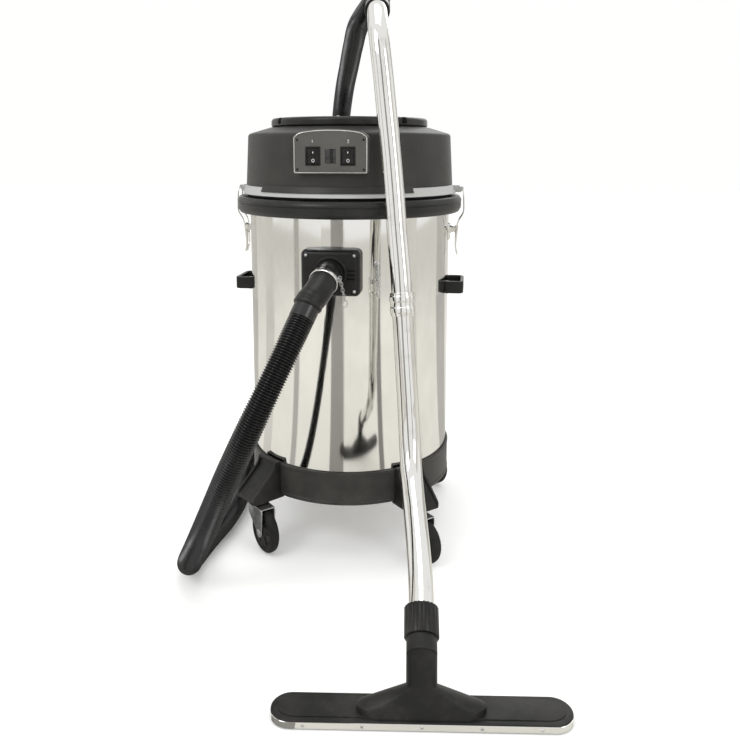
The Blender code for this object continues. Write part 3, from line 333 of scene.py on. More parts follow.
def moulded(name, colour, lifted, base_rough, grain=0.00011, grain_scale=1500.0, dust=0.05):
    """Moulded plastic: pebbled grain, flow streaks, scuffs that lie lighter, and a little dust low down."""
    plastic = Finish(name, colour, base_rough, specular_ior_level=0.28)
    pebble = plastic.cells(grain_scale)
    broad = plastic.noise(14.0, 5.0, 0.62)
    streak = plastic.noise(60.0, 4.0, 0.6, (1, 1, 5))
    scuff = plastic.step(plastic.noise(210.0, 3.0, 0.7, (1.0, 0.35, 2.2)), 0.66, 0.78)
    low_dust = (1 - plastic.step(plastic.height(), 0.02, 0.30)) * plastic.step(broad, 0.38, 0.66)
    worn = scuff * 0.22 + plastic.step(streak, 0.55, 0.85) * 0.14
    body = plastic.mix(worn, plastic.mix(plastic.step(broad, 0.3, 0.75) * 0.35, colour, lifted), lifted)
    plastic.colour(plastic.mix(low_dust * dust, body, (0.30, 0.28, 0.25)))
    plastic.roughness(base_rough + pebble * 0.10 + broad * 0.10 + scuff * 0.14 - 0.06)
    return plastic.relief(pebble + broad * 0.4, grain, 0.65).material


def rubber():
    """Matt rubber with a dusty bloom and a fine tooth."""
    tyre = Finish("rubber", (0.010, 0.010, 0.010), 0.66, specular_ior_level=0.25)
    bloom = tyre.step(tyre.noise(26.0, 6.0, 0.68), 0.42, 0.74)
    tooth = tyre.noise(1500.0, 3.0, 0.7)
    tyre.colour(tyre.mix(bloom * 0.55, (0.008, 0.008, 0.008), (0.030, 0.028, 0.026)))
    tyre.roughness(0.52 + bloom * 0.25 + tooth * 0.08)
    return tyre.relief(tooth + bloom * 0.5, 0.00014, 0.7).material


def hose_plastic():
    """Extruded black hose: satin, a little scuffed on its ribs and dusty between them."""
    tube = Finish("hose_plastic", (0.004, 0.004, 0.004), 0.26, specular_ior_level=0.55)
    broad = tube.noise(20.0, 5.0, 0.6)
    scuff = tube.step(tube.noise(260.0, 4.0, 0.7), 0.58, 0.76)
    tube.colour(tube.mix(scuff * 0.30 + tube.step(broad, 0.5, 0.8) * 0.18, (0.004, 0.004, 0.004),
                         (0.022, 0.021, 0.019)))
    tube.roughness(0.17 + broad * 0.16 + scuff * 0.22)
    return tube.relief(scuff + broad, 0.00010, 0.5).material


def filter_felt():
    """Pleated paper with loose fibres and grey dust."""
    felt = Finish("filter_felt", (0.72, 0.70, 0.62), 0.92)
    fibre = felt.noise(900.0, 4.0, 0.75, (1, 1, 0.3))
    dirt = felt.step(felt.noise(24.0, 5.0, 0.65), 0.45, 0.8)
    felt.colour(felt.mix(dirt * 0.6, (0.76, 0.74, 0.67), (0.42, 0.39, 0.34)))
    felt.roughness(0.84 + fibre * 0.12)
    return felt.relief(fibre + dirt * 0.4, 0.0003, 0.8).material


def cast_metal():
    """Cast motor housings: a sandy grey skin."""
    skin = Finish("cast_metal", (0.32, 0.32, 0.33), 0.46, 0.85)
    sand = skin.noise(700.0, 4.0, 0.7)
    stain = skin.step(skin.noise(30.0, 4.0, 0.6), 0.45, 0.75)
    skin.colour(skin.mix(stain, (0.38, 0.38, 0.39), (0.22, 0.21, 0.20)))
    skin.roughness(0.38 + sand * 0.2)
    return skin.relief(sand, 0.0002, 0.7).material


def printed(name, colour):
    """Screen-printed mark, with slightly broken ink."""
    ink = Finish(name, colour, 0.5)
    broken = ink.step(ink.noise(2600.0, 3.0, 0.7), 0.60, 0.80)
    ink.colour(ink.mix(broken * 0.5, colour, (0.10, 0.10, 0.10)))
    ink.roughness(0.42 + broken * 0.2)
    return ink.material


def smoked_window():
    """Dark glossy lens of the pilot window."""
    lens = Finish("smoked_window", (0.008, 0.008, 0.009), 0.10, coat_weight=0.5)
    haze = lens.noise(90.0, 4.0, 0.6)
    lens.colour(lens.mix(lens.step(haze, 0.4, 0.8), (0.006, 0.006, 0.007), (0.020, 0.018, 0.018)))
    lens.roughness(0.06 + haze * 0.08)
    return lens.material


STEEL, CHROME, ZINC = mirror_steel(), chrome(), zinc()
DARK = moulded("dark_plastic", (0.024, 0.023, 0.0205), (0.052, 0.050, 0.045), 0.36)
GLOSS_DARK = moulded("crown_plastic", (0.013, 0.013, 0.012), (0.034, 0.033, 0.030), 0.26, 0.00007)
BLACK = moulded("black_plastic", (0.006, 0.006, 0.0055), (0.022, 0.021, 0.019), 0.26, 0.00008)
MATT_BLACK = moulded("matt_black_plastic", (0.006, 0.006, 0.0055), (0.020, 0.019, 0.018), 0.40, 0.00012)
FASCIA = moulded("fascia_plastic", (0.070, 0.068, 0.061), (0.115, 0.112, 0.102), 0.32, 0.00009)
GREY = moulded("grey_plastic", (0.40, 0.40, 0.39), (0.50, 0.50, 0.48), 0.36, 0.00007, 1700.0)
RUBBER, HOSE, FELT, CAST = rubber(), hose_plastic(), filter_felt(), cast_metal()
WHITE_INK, WINDOW = printed("white_ink", (0.80, 0.80, 0.78)), smoked_window()


# Mesh work, in drum coordinates

def loft(sections, loop=False, closed=True, caps=False):
    """Bmesh through a list of sections with the same number of points."""
    bm = bmesh.new()
    rings = [[bm.verts.new(p) for p in section] for section in sections]
    count = len(rings[0])
    pairs = list(zip(rings, rings[1:])) + ([(rings[-1], rings[0])] if loop else [])
    for a, b in pairs:
        for k in range(count if closed else count - 1):
            bm.faces.new((a[k], a[(k + 1) % count], b[(k + 1) % count], b[k]))
    if caps:
        bm.faces.new(rings[0][::-1])
        bm.faces.new(rings[-1])
    bmesh.ops.remove_doubles(bm, verts=bm.verts, dist=0.000001)
    return righted(bm)


def righted(bm):
    bmesh.ops.recalc_face_normals(bm, faces=bm.faces)
    if bm.calc_volume(signed=True) < 0:
        bmesh.ops.reverse_faces(bm, faces=bm.faces)
    return bm


def eased(corners, cyclic=True, cuts=5):
    """An outline whose corners (x, y, ease) are rounded by arcs that start ease away from them."""
    points = []
    count = len(corners)
    for i, (x, y, *ease) in enumerate(corners):
        here = Vector((x, y))
        if not ease or (not cyclic and i in (0, count - 1)):
            points.append(here)
            continue
        before, after = Vector(corners[i - 1][:2]), Vector(corners[(i + 1) % count][:2])
        start = here + (before - here).normalized() * min(ease[0], (before - here).length * 0.49)
        end = here + (after - here).normalized() * min(ease[0], (after - here).length * 0.49)
        for k in range(cuts + 1):
            t = k / cuts
            points.append(start * (1 - t) ** 2 + here * 2 * t * (1 - t) + end * t**2)
    return points


def lathe(corners, steps=160, start=0.0, sweep=360.0):
    """Bmesh of an eased profile of (radius, height, ease) corners turned round Z."""
    on_axis = min(corner[0] for corner in corners) <= 0
    profile = eased(corners, cyclic=not on_axis)
    full = sweep >= 360
    turns = [radians(start + sweep * k / steps) for k in range(steps if full else steps + 1)]
    sections = [[Vector((r * cos(a), r * sin(a), z)) for r, z in profile] for a in turns]
    return loft(sections, loop=full, closed=not on_axis, caps=not full)


def standing(bm, foot, direction):
    """Stands a bmesh that was made along Z at foot, along direction."""
    turn = Vector(direction).to_track_quat("Z", "Y").to_matrix().to_4x4()
    bm.transform(Matrix.Translation(foot) @ turn)
    return bm


def tube(points, radius, sides=20, caps=True, loop=False):
    """Bmesh of a round tube along points. Radius is a number, or one for each point."""
    points = [Vector(p) for p in points]
    radii = radius if isinstance(radius, list) else [radius] * len(points)
    count = len(points)
    side = None
    sections = []
    for i, (centre, r) in enumerate(zip(points, radii)):
        ahead, behind = points[(i + 1) % count], points[i - 1]
        if not loop and i in (0, count - 1):
            along = (points[1] - points[0]) if i == 0 else (points[-1] - points[-2])
        else:
            along = ahead - behind
        along.normalize()
        if side is None:
            side = along.orthogonal().normalized()
        side = (side - along * side.dot(along)).normalized()
        up = along.cross(side)
        turns = [2 * pi * k / sides for k in range(sides)]
        sections.append([centre + (side * cos(a) + up * sin(a)) * r for a in turns])
    return loft(sections, loop=loop, caps=caps and not loop)


def slab(outline, thickness, ease=0.0008, segments=3, angle=35):
    """Bmesh of a flat outline in XY with its thickness centred on z = 0 and its edges rounded."""
    bm = bmesh.new()
    face = bm.faces.new([bm.verts.new((p[0], p[1], -thickness / 2)) for p in outline])
    lifted = bmesh.ops.extrude_face_region(bm, geom=[face])["geom"]
    raised = [v for v in lifted if isinstance(v, bmesh.types.BMVert)]
    bmesh.ops.translate(bm, vec=(0, 0, thickness), verts=raised)
    return soften(righted(bm), ease, segments, angle)


def block(corner, far, ease=0.001, segments=3):
    """Bmesh of a box between two corners with rounded edges."""
    bm = bmesh.new()
    bmesh.ops.create_cube(bm, size=1.0)
    corner, far = Vector(corner), Vector(far)
    bm.transform(Matrix.Translation((corner + far) / 2) @ Matrix.Diagonal((*(far - corner), 1)))
    return soften(righted(bm), ease, segments, 35)


def soften(bm, width, segments=3, angle=35):
    """Rounds every edge that is sharper than angle."""
    if width:
        edges = [e for e in bm.edges if e.is_manifold and e.calc_face_angle() > radians(angle)]
        bmesh.ops.bevel(
            bm, geom=edges, offset=width, segments=segments, profile=0.5, affect="EDGES",
            clamp_overlap=True,
        )
    return bm


def turned_by(bm, matrix):
    bm.transform(matrix)
    return bm


def together(*shapes):
    """One bmesh that holds several closed bodies."""
    first = shapes[0]
    for other in shapes[1:]:
        mesh = bpy.data.meshes.new("part")
        other.to_mesh(mesh)
        first.from_mesh(mesh)
        bpy.data.meshes.remove(mesh)
        other.free()
    return first


def boolean(bm, *tools, operation="DIFFERENCE"):
    """Bmesh of a shape after each tool is cut from it or joined to it."""
    helpers = []
    for shape in (bm, *tools):
        mesh = bpy.data.meshes.new("helper")
        shape.to_mesh(mesh)
        shape.free()
        helpers.append(bpy.data.objects.new("helper", mesh))
        bpy.context.scene.collection.objects.link(helpers[-1])
    for tool in helpers[1:]:
        modifier = helpers[0].modifiers.new("cut", "BOOLEAN")
        modifier.operation, modifier.solver, modifier.object = operation, "EXACT", tool
    bpy.context.view_layer.update()
    mesh = bpy.data.meshes.new_from_object(helpers[0].evaluated_get(bpy.context.evaluated_depsgraph_get()))
    made = bmesh.new()
    made.from_mesh(mesh)
    bpy.data.meshes.remove(mesh)
    for helper in helpers:
        bpy.data.objects.remove(helper, do_unlink=True)
    return made


def pin(radius, start, end, steps=32, ease=0.0):
    along = Vector(end) - Vector(start)
    corners = [(0, along.length), (radius, along.length, ease), (radius, 0, ease), (0, 0)]
    return standing(lathe(corners, steps), start, along)


def put(name, bm, material, body, slot, *nodes, smooth=38):
    """Makes a piece of a bmesh, stands it at the drum's axis, ties it to its body, and hides the CAD nodes it
    replaces. The slot is not used.
    """
    mesh = bpy.data.meshes.new(name)
    bm.to_mesh(mesh)
    bm.free()
    mesh.shade_smooth()
    mesh.set_sharp_from_angle(angle=radians(smooth))
    mesh.materials.append(material)
    piece = bpy.data.objects.new(name, mesh)
    bpy.context.scene.collection.objects.link(piece)
    piece.location = AXIS
    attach(piece, body)
    if nodes:
        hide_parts(*nodes)
    return piece


def outward(angle):
    """Unit vector away from the drum, at an angle in degrees from the front towards +X."""
    return Vector((sin(radians(angle)), -cos(radians(angle)), 0))


def place_of(joint):
    """A joint's point in drum coordinates."""
    return Vector(JOINTS[joint]["pos_m"]) - AXIS


def sideways(side):
    """Matrix from a side fitting's own axes (X out of the drum, Z up) to the drum's."""
    return Matrix.Rotation(0 if side == "right" else pi, 4, "Z")


def fasteners(places, direction, radius=0.0028, proud=0.0014):
    """Bmesh of pan-head screws with a cross cut, which stand on a face at places."""
    heads = []
    for place in places:
        corners = [(0, proud), (radius * 0.55, proud, 0.0006), (radius, proud * 0.3, 0.0005),
                   (radius, -0.001), (0, -0.001)]
        head = lathe(corners, 20)
        reach, wide = radius * 0.62, radius * 0.12
        for turn in (0, 90):
            slot = block((-reach, -wide, proud * 0.35), (reach, wide, proud * 2), 0)
            head = boolean(head, turned_by(slot, Matrix.Rotation(radians(turn + 20), 4, "Z")))
        heads.append(standing(head, place, direction))
    return together(*heads)


# Camera and lights

def make_camera():
    camera = bpy.data.objects.new("camera", bpy.data.cameras.new("camera"))
    bpy.context.scene.collection.objects.link(camera)
    place, dip, turn = Vector((0.2673, -1.6973, 0.8503)), 8.298, 7.453
    camera.location = AXIS + place
    camera.rotation_euler = (radians(90 - dip), 0, radians(turn))
    camera.data.sensor_width, camera.data.lens, camera.data.shift_y = 36, 37.341, -0.15
    bpy.context.scene.camera = camera


def area_light(name, place, aim, size, power, tint=(1, 1, 1)):
    light = bpy.data.lights.new(name, "AREA")
    light.shape, light.size, light.size_y = "RECTANGLE", *size
    light.energy, light.color = power, tint
    lamp = bpy.data.objects.new(name, light)
    bpy.context.scene.collection.objects.link(lamp)
    lamp.location = place
    lamp.rotation_euler = (Vector(aim) - Vector(place)).to_track_quat("-Z", "Y").to_euler()


def make_studio():
    """Pale floor, soft lights, and grey cards that show in reflections alone."""
    card_z, clear = 1.3, 0.0003
    floor_paint = Finish("floor_paint", (0.92, 0.92, 0.91), 0.85, emission_color=(1, 1, 1, 1),
                         emission_strength=0.16,
                         specular_ior_level=0.1)
    cloud = floor_paint.noise(3.0, 4.0)
    floor_paint.colour(floor_paint.mix(cloud, (0.93, 0.93, 0.92), (0.90, 0.90, 0.89)))
    floor_paint.roughness(0.80 + cloud * 0.1)
    bm = bmesh.new()
    bmesh.ops.create_grid(bm, x_segments=8, y_segments=8, size=14)
    mesh = bpy.data.meshes.new("floor")
    bm.to_mesh(mesh)
    bm.free()
    mesh.materials.append(floor_paint.material)
    floor = bpy.data.objects.new("floor", mesh)
    bpy.context.scene.collection.objects.link(floor)
    floor.location.z = -0.0002
    cards = (("front", -0.30, -2.3, 0.60, -8, 0.30), ("left", -2.2, -1.5, 0.30, -56, 0.42),
             ("right", 1.7, -2.0, 0.24, 40, 0.22), ("right_wide", 2.6, -0.4, 0.9, 80, 0.62),
             ("left_wide", -2.6, 0.3, 0.7, -96, 0.62), ("back_left", -2.1, 2.3, 1.5, 42, 0.52),
             ("back_right", 2.1, 2.5, 1.5, -40, 0.48))
    for name, x, y, width, turn, tone in (*cards, ("floor", 0, 0, 40.0, 0, 0.80)):
        paint = Finish(f"card_{name}", (tone, tone, tone), 0.9, specular_ior_level=0.0)
        paint.colour(paint.mix(paint.noise(2.0), (tone * 0.8, tone * 0.78, tone * 0.72),
                               (tone, tone * 0.98, tone * 0.92)))
        bm = bmesh.new()
        bmesh.ops.create_grid(bm, x_segments=1, y_segments=1, size=0.5)
        if name == "floor":
            bm.transform(Matrix.Translation((0, 0, clear - card_z)) @ Matrix.Diagonal((width, width, 1, 1)))
        else:
            bm.transform(Matrix.Rotation(radians(turn), 4, "Z") @ Matrix.Rotation(radians(90), 4, "X")
                         @ Matrix.Diagonal((width, 2.6, 1, 1)))
            # A wedge on the floor carries the card's reflection down to the drum's foot.
            far, foot = Vector((x, y, 0)), AXIS.xy.to_3d()
            reach = far - foot
            aside = Vector((-reach.y, reach.x, 0)).normalized() * width / 2
            share = 0.16
            near = foot + reach * share
            ends = [near - aside * share, near + aside * share, far + aside, far - aside]
            bm.faces.new([bm.verts.new(end - far + Vector((0, 0, 2 * clear - card_z))) for end in ends])
        mesh = bpy.data.meshes.new(f"card_{name}")
        bm.to_mesh(mesh)
        bm.free()
        mesh.materials.append(paint.material)
        card = bpy.data.objects.new(f"card_{name}", mesh)
        bpy.context.scene.collection.objects.link(card)
        card.location = (x, y, card_z)
        card.visible_camera = card.visible_diffuse = card.visible_shadow = False
    area_light("key", (-1.9, -2.4, 2.9), (0, 0, 0.6), (1.4, 1.4), 34)
    area_light("fill", (2.6, -1.8, 1.9), (0, 0, 0.5), (0.9, 1.8), 14)
    area_light("rim_light", (0.6, 2.6, 2.4), (0, 0, 0.7), (2.2, 1.2), 12)
    area_light("top_light", (0, 0, 3.4), (0, 0, 0), (1.8, 1.8), 16)
    world = bpy.data.worlds.new("studio")
    bpy.context.scene.world = world
    world.use_nodes = True
    world.node_tree.nodes["Background"].inputs["Color"].default_value = (1.0, 1.0, 0.995, 1.0)
    world.node_tree.nodes["Background"].inputs["Strength"].default_value = 1.0
    bpy.context.scene.view_settings.view_transform = "Standard"


# Hose

RIB_PITCH, RIB_DEPTH = 0.0050, 0.0034
RING_STEP = RIB_PITCH / 6
SMOOTH_START, SMOOTH_END = 0.0250, 0.0120


def make_hose():
    """Ribbed suction hose, from the elbow over the floor and up behind the drum to the cuff."""
    coarse = smooth_points(HOSE_POINTS, RIB_PITCH / 5)
    lengths = [(b - a).length for a, b in zip(coarse, coarse[1:])]
    total, spare, line, run = sum(lengths), 0.0, [coarse[0]], [0.0]
    for a, b, span in zip(coarse, coarse[1:], lengths):
        while spare + span >= RING_STEP * len(line) - 1e-9 and len(line) * RING_STEP < total - RING_STEP / 2:
            at = RING_STEP * len(line)
            line.append(a.lerp(b, max(0.0, min(1.0, (at - spare) / span))))
            run.append(at)
        spare += span
    line.append(coarse[-1])
    run.append(total)
    radii = []
    for at in run:
        phase = (at / RIB_PITCH) % 1
        rib = 1 - RIB_DEPTH / HOSE_R * (0.5 - 0.5 * cos(2 * pi * phase)) ** 0.7
        smooth = at < SMOOTH_START or at > total - SMOOTH_END
        radii.append(HOSE_R if smooth else HOSE_R * rib)
    hose = put("ribbed_hose", tube(line, radii, 26), HOSE, "tank", "hose_plastic", "hose", smooth=80)
    path = [AXIS + point for point in line[::5]] + [AXIS + line[-1]]
    exit_at = AXIS + HOSE_POINTS[0]


# Drum, rim and base

def make_drum():
    inner, hem = DRUM_R - DRUM_WALL, 0.0010
    corners = [
        (0, DRUM_LOW + DRUM_WALL), (inner, DRUM_LOW + DRUM_WALL, 0.0006), (inner, DRUM_TOP, 0.0004),
        (DRUM_R, DRUM_TOP, 0.0004), (DRUM_R, DRUM_LOW, hem), (0, DRUM_LOW),
    ]
    bore = pin(0.0213, (0, -DRUM_R - 0.01, INLET.z), (0, -DRUM_R + 0.02, INLET.z), 48)
    put("polished_drum", boolean(lathe(corners, 288), bore), STEEL, "tank", "steel_drum", "drum", smooth=30)


def make_rim():
    """Rubbery bumper with a rolled top edge and a shadow groove, and the seal on it."""
    inner = DRUM_R + GAP
    corners = [
        (inner, RIM_LOW), (inner, DRUM_TOP + GAP), (inner - 0.006, DRUM_TOP + GAP),
        (inner - 0.006, RIM_TOP, 0.001), (RIM_R - 0.0050, RIM_TOP, 0.003), (RIM_R, RIM_TOP - 0.0080, 0.006),
        (RIM_R, RIM_LOW + 0.0235), (RIM_R - 0.0012, RIM_LOW + 0.0228), (RIM_R - 0.0012, RIM_LOW + 0.0215),
        (RIM_R - 0.0004, RIM_LOW + 0.0208), (RIM_R - 0.0006, RIM_LOW + 0.0090, 0.004),
        (RIM_R - 0.0060, RIM_LOW, 0.003),
    ]
    put("rolled_bumper", lathe(corners, 224), GLOSS_DARK, "tank", "dark_plastic", "rim_bumper")
    inner, outer = DRUM_R - 0.0050, DRUM_R + 0.0060
    low_z = RIM_TOP + GAP
    corners = [(inner, low_z, 0.001), (inner, SEAL_TOP, 0.001), (outer, SEAL_TOP, 0.002),
               (outer, low_z, 0.002)]
    put("head_seal", lathe(corners, 200), RUBBER, "tank", "rubber", "rim_seal")


def make_base():
    """Skirt ring with a rolled top lip, a foot bead and a shelf for the drum."""
    inner, shelf = DRUM_R + GAP, DRUM_LOW - GAP
    corners = [
        (inner - 0.0400, BASE_LOW), (inner - 0.0400, shelf), (inner, shelf), (inner, BASE_TOP, 0.0012),
        (BASE_R, BASE_TOP, 0.0018), (BASE_R, BASE_TOP - 0.0060, 0.0010),
        (BASE_R - 0.0010, BASE_TOP - 0.0070, 0.0008),
        (BASE_R - 0.0010, BASE_LOW + 0.0080, 0.0008), (BASE_R, BASE_LOW + 0.0070, 0.0010),
        (BASE_R, BASE_LOW, 0.0020),
    ]
    put("base_skirt", lathe(corners, 224), DARK, "tank", "dark_plastic", "base_ring")


# Casters

def make_bracket(corner, angle):
    """Moulded bracket with two ribbed cheeks, a sloping web and a lip that hugs the ring."""
    node = f"caster_bracket_{corner}"
    half = 0.0320
    inner, outer, foot = BASE_R - 0.012, DRUM_R + 0.0360 + 0.0340, low(node).z
    lip = BASE_TOP + 0.0035
    web = [
        (inner, foot), (outer - 0.004, foot, 0.002), (outer - 0.001, foot + 0.004, 0.002),
        (outer - 0.001, foot + 0.012, 0.004), (BASE_R + 0.0105, BASE_TOP - 0.016, 0.006),
        (BASE_R + 0.0070, lip - 0.0060, 0.002), (inner, lip - 0.0060),
    ]
    cheek = [
        (inner, foot), (outer - 0.004, foot, 0.003), (outer, foot + 0.004, 0.003),
        (outer, foot + 0.016, 0.004),
        (BASE_R + 0.014, BASE_TOP - 0.012, 0.008), (BASE_R + 0.009, lip, 0.0015), (inner, lip),
    ]
    upright = Matrix.Rotation(radians(angle - 90), 4, "Z")
    lay = Matrix.Rotation(radians(90), 4, "X")
    shapes = [turned_by(slab(eased(web), 2 * half - 0.006, 0.0010, 2), lay)]
    for way in (-1, 1):
        flank = turned_by(slab(eased(cheek), 0.0050, 0.0012, 3), lay)
        shapes.append(turned_by(flank, Matrix.Translation((0, way * (half - 0.0025), 0))))
    shapes.append(block((inner, -half, lip - 0.0050), (BASE_R + 0.0095, half, lip), 0.0012))
    body = boolean(*shapes, operation="UNION")
    over, under, r = BASE_TOP + 0.02, BASE_LOW - GAP, BASE_R + GAP
    body = turned_by(body, upright)
    ring = lathe([(0, over), (r, over), (r, under), (0, under)], 160)
    put(f"bracket_{corner}", boolean(body, ring), MATT_BLACK, "tank", "black_plastic", node)


def make_caster(corner):
    """Pressed fork on a ball race, axle bolt with its nut, and a wheel with a tyre, hub and spokes."""
    swivel, hub = place_of(f"swivel_{corner}"), place_of(f"roll_{corner}")
    trail = Vector((hub.x - swivel.x, hub.y - swivel.y, 0))
    reach = trail.length
    across = trail.cross(Vector((0, 0, 1))).normalized()
    turn = Matrix((across, trail.normalized(), (0, 0, 1))).transposed().to_4x4()
    stand = Matrix.Translation(Vector((hub.x, hub.y, 0))) @ turn
    half, sheet, crown = WHEEL_W / 2 + 0.0021, 0.0025, 2 * WHEEL_R + 0.0030
    foot = [
        (-0.0105 * cos(radians(a)), WHEEL_R - 0.0105 * sin(radians(a))) for a in range(0, 181, 15)
    ]
    cheek = foot + [
        (0.0140, crown - 0.004), (0.0120, crown + sheet), (-reach - 0.019, crown + sheet),
        (-reach - 0.021, crown - 0.004), (-reach - 0.017, crown - 0.020),
    ]
    lay = Matrix.Rotation(radians(90), 4, "Z") @ Matrix.Rotation(radians(90), 4, "X")
    shapes = []
    for way in (-1, 1):
        flank = turned_by(slab(cheek, sheet, 0.0006, 2, 30), Matrix.Translation((way * (half + sheet / 2), 0,
                                                                                 0)) @ lay)
        shapes.append(flank)
    wide = half + sheet
    shapes.append(block((-wide, -reach - 0.0195, crown), (wide, 0.0115, crown + sheet), 0.0006, 2))
    body = turned_by(boolean(*shapes, operation="UNION"), stand)
    top = high(f"caster_fork_{corner}").z
    race_low = crown + sheet - 0.0005
    race = [
        (0, top), (0.0105, top, 0.0005), (0.0105, top - 0.0022, 0.0005), (0.0185, top - 0.0028, 0.0015),
        (0.0195, race_low + 0.0048, 0.0010), (0.0180, race_low + 0.0036, 0.0006), (0.0180, race_low, 0.001),
        (0, race_low),
    ]
    body = boolean(body, standing(lathe(race, 48), (swivel.x, swivel.y, 0), (0, 0, 1)), operation="UNION")
    bore_reach = half + sheet + 0.004
    bore = pin(0.0043, hub - across * bore_reach, hub + across * bore_reach, 24)
    put(f"fork_{corner}", boolean(body, bore), ZINC, f"fork_{corner}", "zinc", f"caster_fork_{corner}")
    ring = lathe([(0.0180, race_low + 0.0005, 0.0008), (0.0180, race_low + 0.0030, 0.0008),
                  (0.0208, race_low + 0.0030, 0.0012), (0.0208, race_low + 0.0005, 0.0012)], 48)
    put(f"race_guard_{corner}", standing(ring, (swivel.x, swivel.y, 0), (0, 0, 1)), RUBBER,
        f"fork_{corner}", "rubber")

    end = half + sheet + GAP
    axle = together(
        pin(0.0040, hub - across * end, hub + across * end, 24),
        standing(lathe([(0, 0.0032), (0.0045, 0.0032, 0.0012), (0.0066, 0.0012, 0.0008), (0.0066, 0),
                        (0, 0)], 6),
                 hub + across * end, across),
        standing(lathe([(0, 0.0030), (0.0050, 0.0030, 0.0018), (0.0068, 0.0006, 0.0008), (0.0068, 0),
                        (0, 0)], 32),
                 hub - across * end, -across),
    )
    put(f"axle_{corner}", axle, ZINC, f"fork_{corner}", "zinc", f"caster_axle_{corner}", smooth=25)

    w, r = WHEEL_W / 2, WHEEL_R
    tyre = [
        (0.0325, -w + 0.0040, 0.0008), (0.0325, w - 0.0040, 0.0008), (0.0350, w - 0.0022, 0.0015),
        (r - 0.0060, w - 0.0022, 0.0030), (r - 0.0010, w - 0.0060, 0.0035), (r, 0, 0.0060),
        (r - 0.0010, 0.0060 - w, 0.0035), (r - 0.0060, 0.0022 - w, 0.0030), (0.0350, 0.0022 - w, 0.0015),
    ]
    put(f"tyre_{corner}", standing(lathe(tyre, 72), hub, across), RUBBER, f"wheel_{corner}", "rubber",
        f"caster_wheel_{corner}")
    core = [
        (0.0046, -w), (0.0046, w, 0.0008), (0.0135, w, 0.0012), (0.0150, w - 0.0050, 0.0015),
        (0.0290, w - 0.0058, 0.0012), (0.0305, w - 0.0030, 0.0008), (0.0324, w - 0.0030, 0.0006),
        (0.0324, 0.0030 - w, 0.0006), (0.0305, 0.0030 - w, 0.0008), (0.0290, 0.0058 - w, 0.0012),
        (0.0150, 0.0050 - w, 0.0015), (0.0135, -w, 0.0012),
    ]
    ribs = []
    for k in range(6):
        for way in (-1, 1):
            spoke = block((0.0140, -0.0011, way * (w - 0.0045) - 0.0022),
                          (0.0300, 0.0011, way * (w - 0.0045) + 0.0012),
                          0.0003, 1)
            ribs.append(turned_by(spoke, Matrix.Rotation(radians(60 * k), 4, "Z")))
    wheel_core = standing(together(lathe(core, 64), *ribs), hub, across)
    put(f"wheel_core_{corner}", wheel_core, MATT_BLACK, f"wheel_{corner}", "black_plastic")


# Handles and latches

def make_handle(side):
    """Open loop handle: a soft-edged strap on two feet."""
    out, half, t, foot = HANDLE_OUT, HANDLE_HALF_L, 0.0075, DRUM_R - 0.004
    outline = eased([
        (foot, -half), (out, -half, 0.013), (out, half, 0.013), (foot, half),
        (foot, half - t), (out - t, half - t, 0.007), (out - t, -half + t, 0.007), (foot, -half + t),
    ], cuts=7)
    strap = slab(outline, HANDLE_H, 0.0026, 4, 50)
    pads = [
        block((DRUM_R - 0.004, way * (half - 0.0065) - 0.0065, -HANDLE_H / 2),
              (DRUM_R + 0.0042, way * (half - 0.0065) + 0.0065, HANDLE_H / 2), 0.0016)
        for way in (-1, 1)
    ]
    body = boolean(strap, *pads, operation="UNION")
    lift = Matrix.Translation((0, 0, HANDLE.z))
    body = turned_by(body, sideways(side) @ lift)
    drum = lathe([(0, HANDLE.z + 0.04), (DRUM_R + GAP, HANDLE.z + 0.04), (DRUM_R + GAP, HANDLE.z - 0.04),
                  (0, HANDLE.z - 0.04)], 288)
    put(f"loop_handle_{side}", boolean(body, drum), BLACK, "tank", "black_plastic", f"carry_handle_{side}")


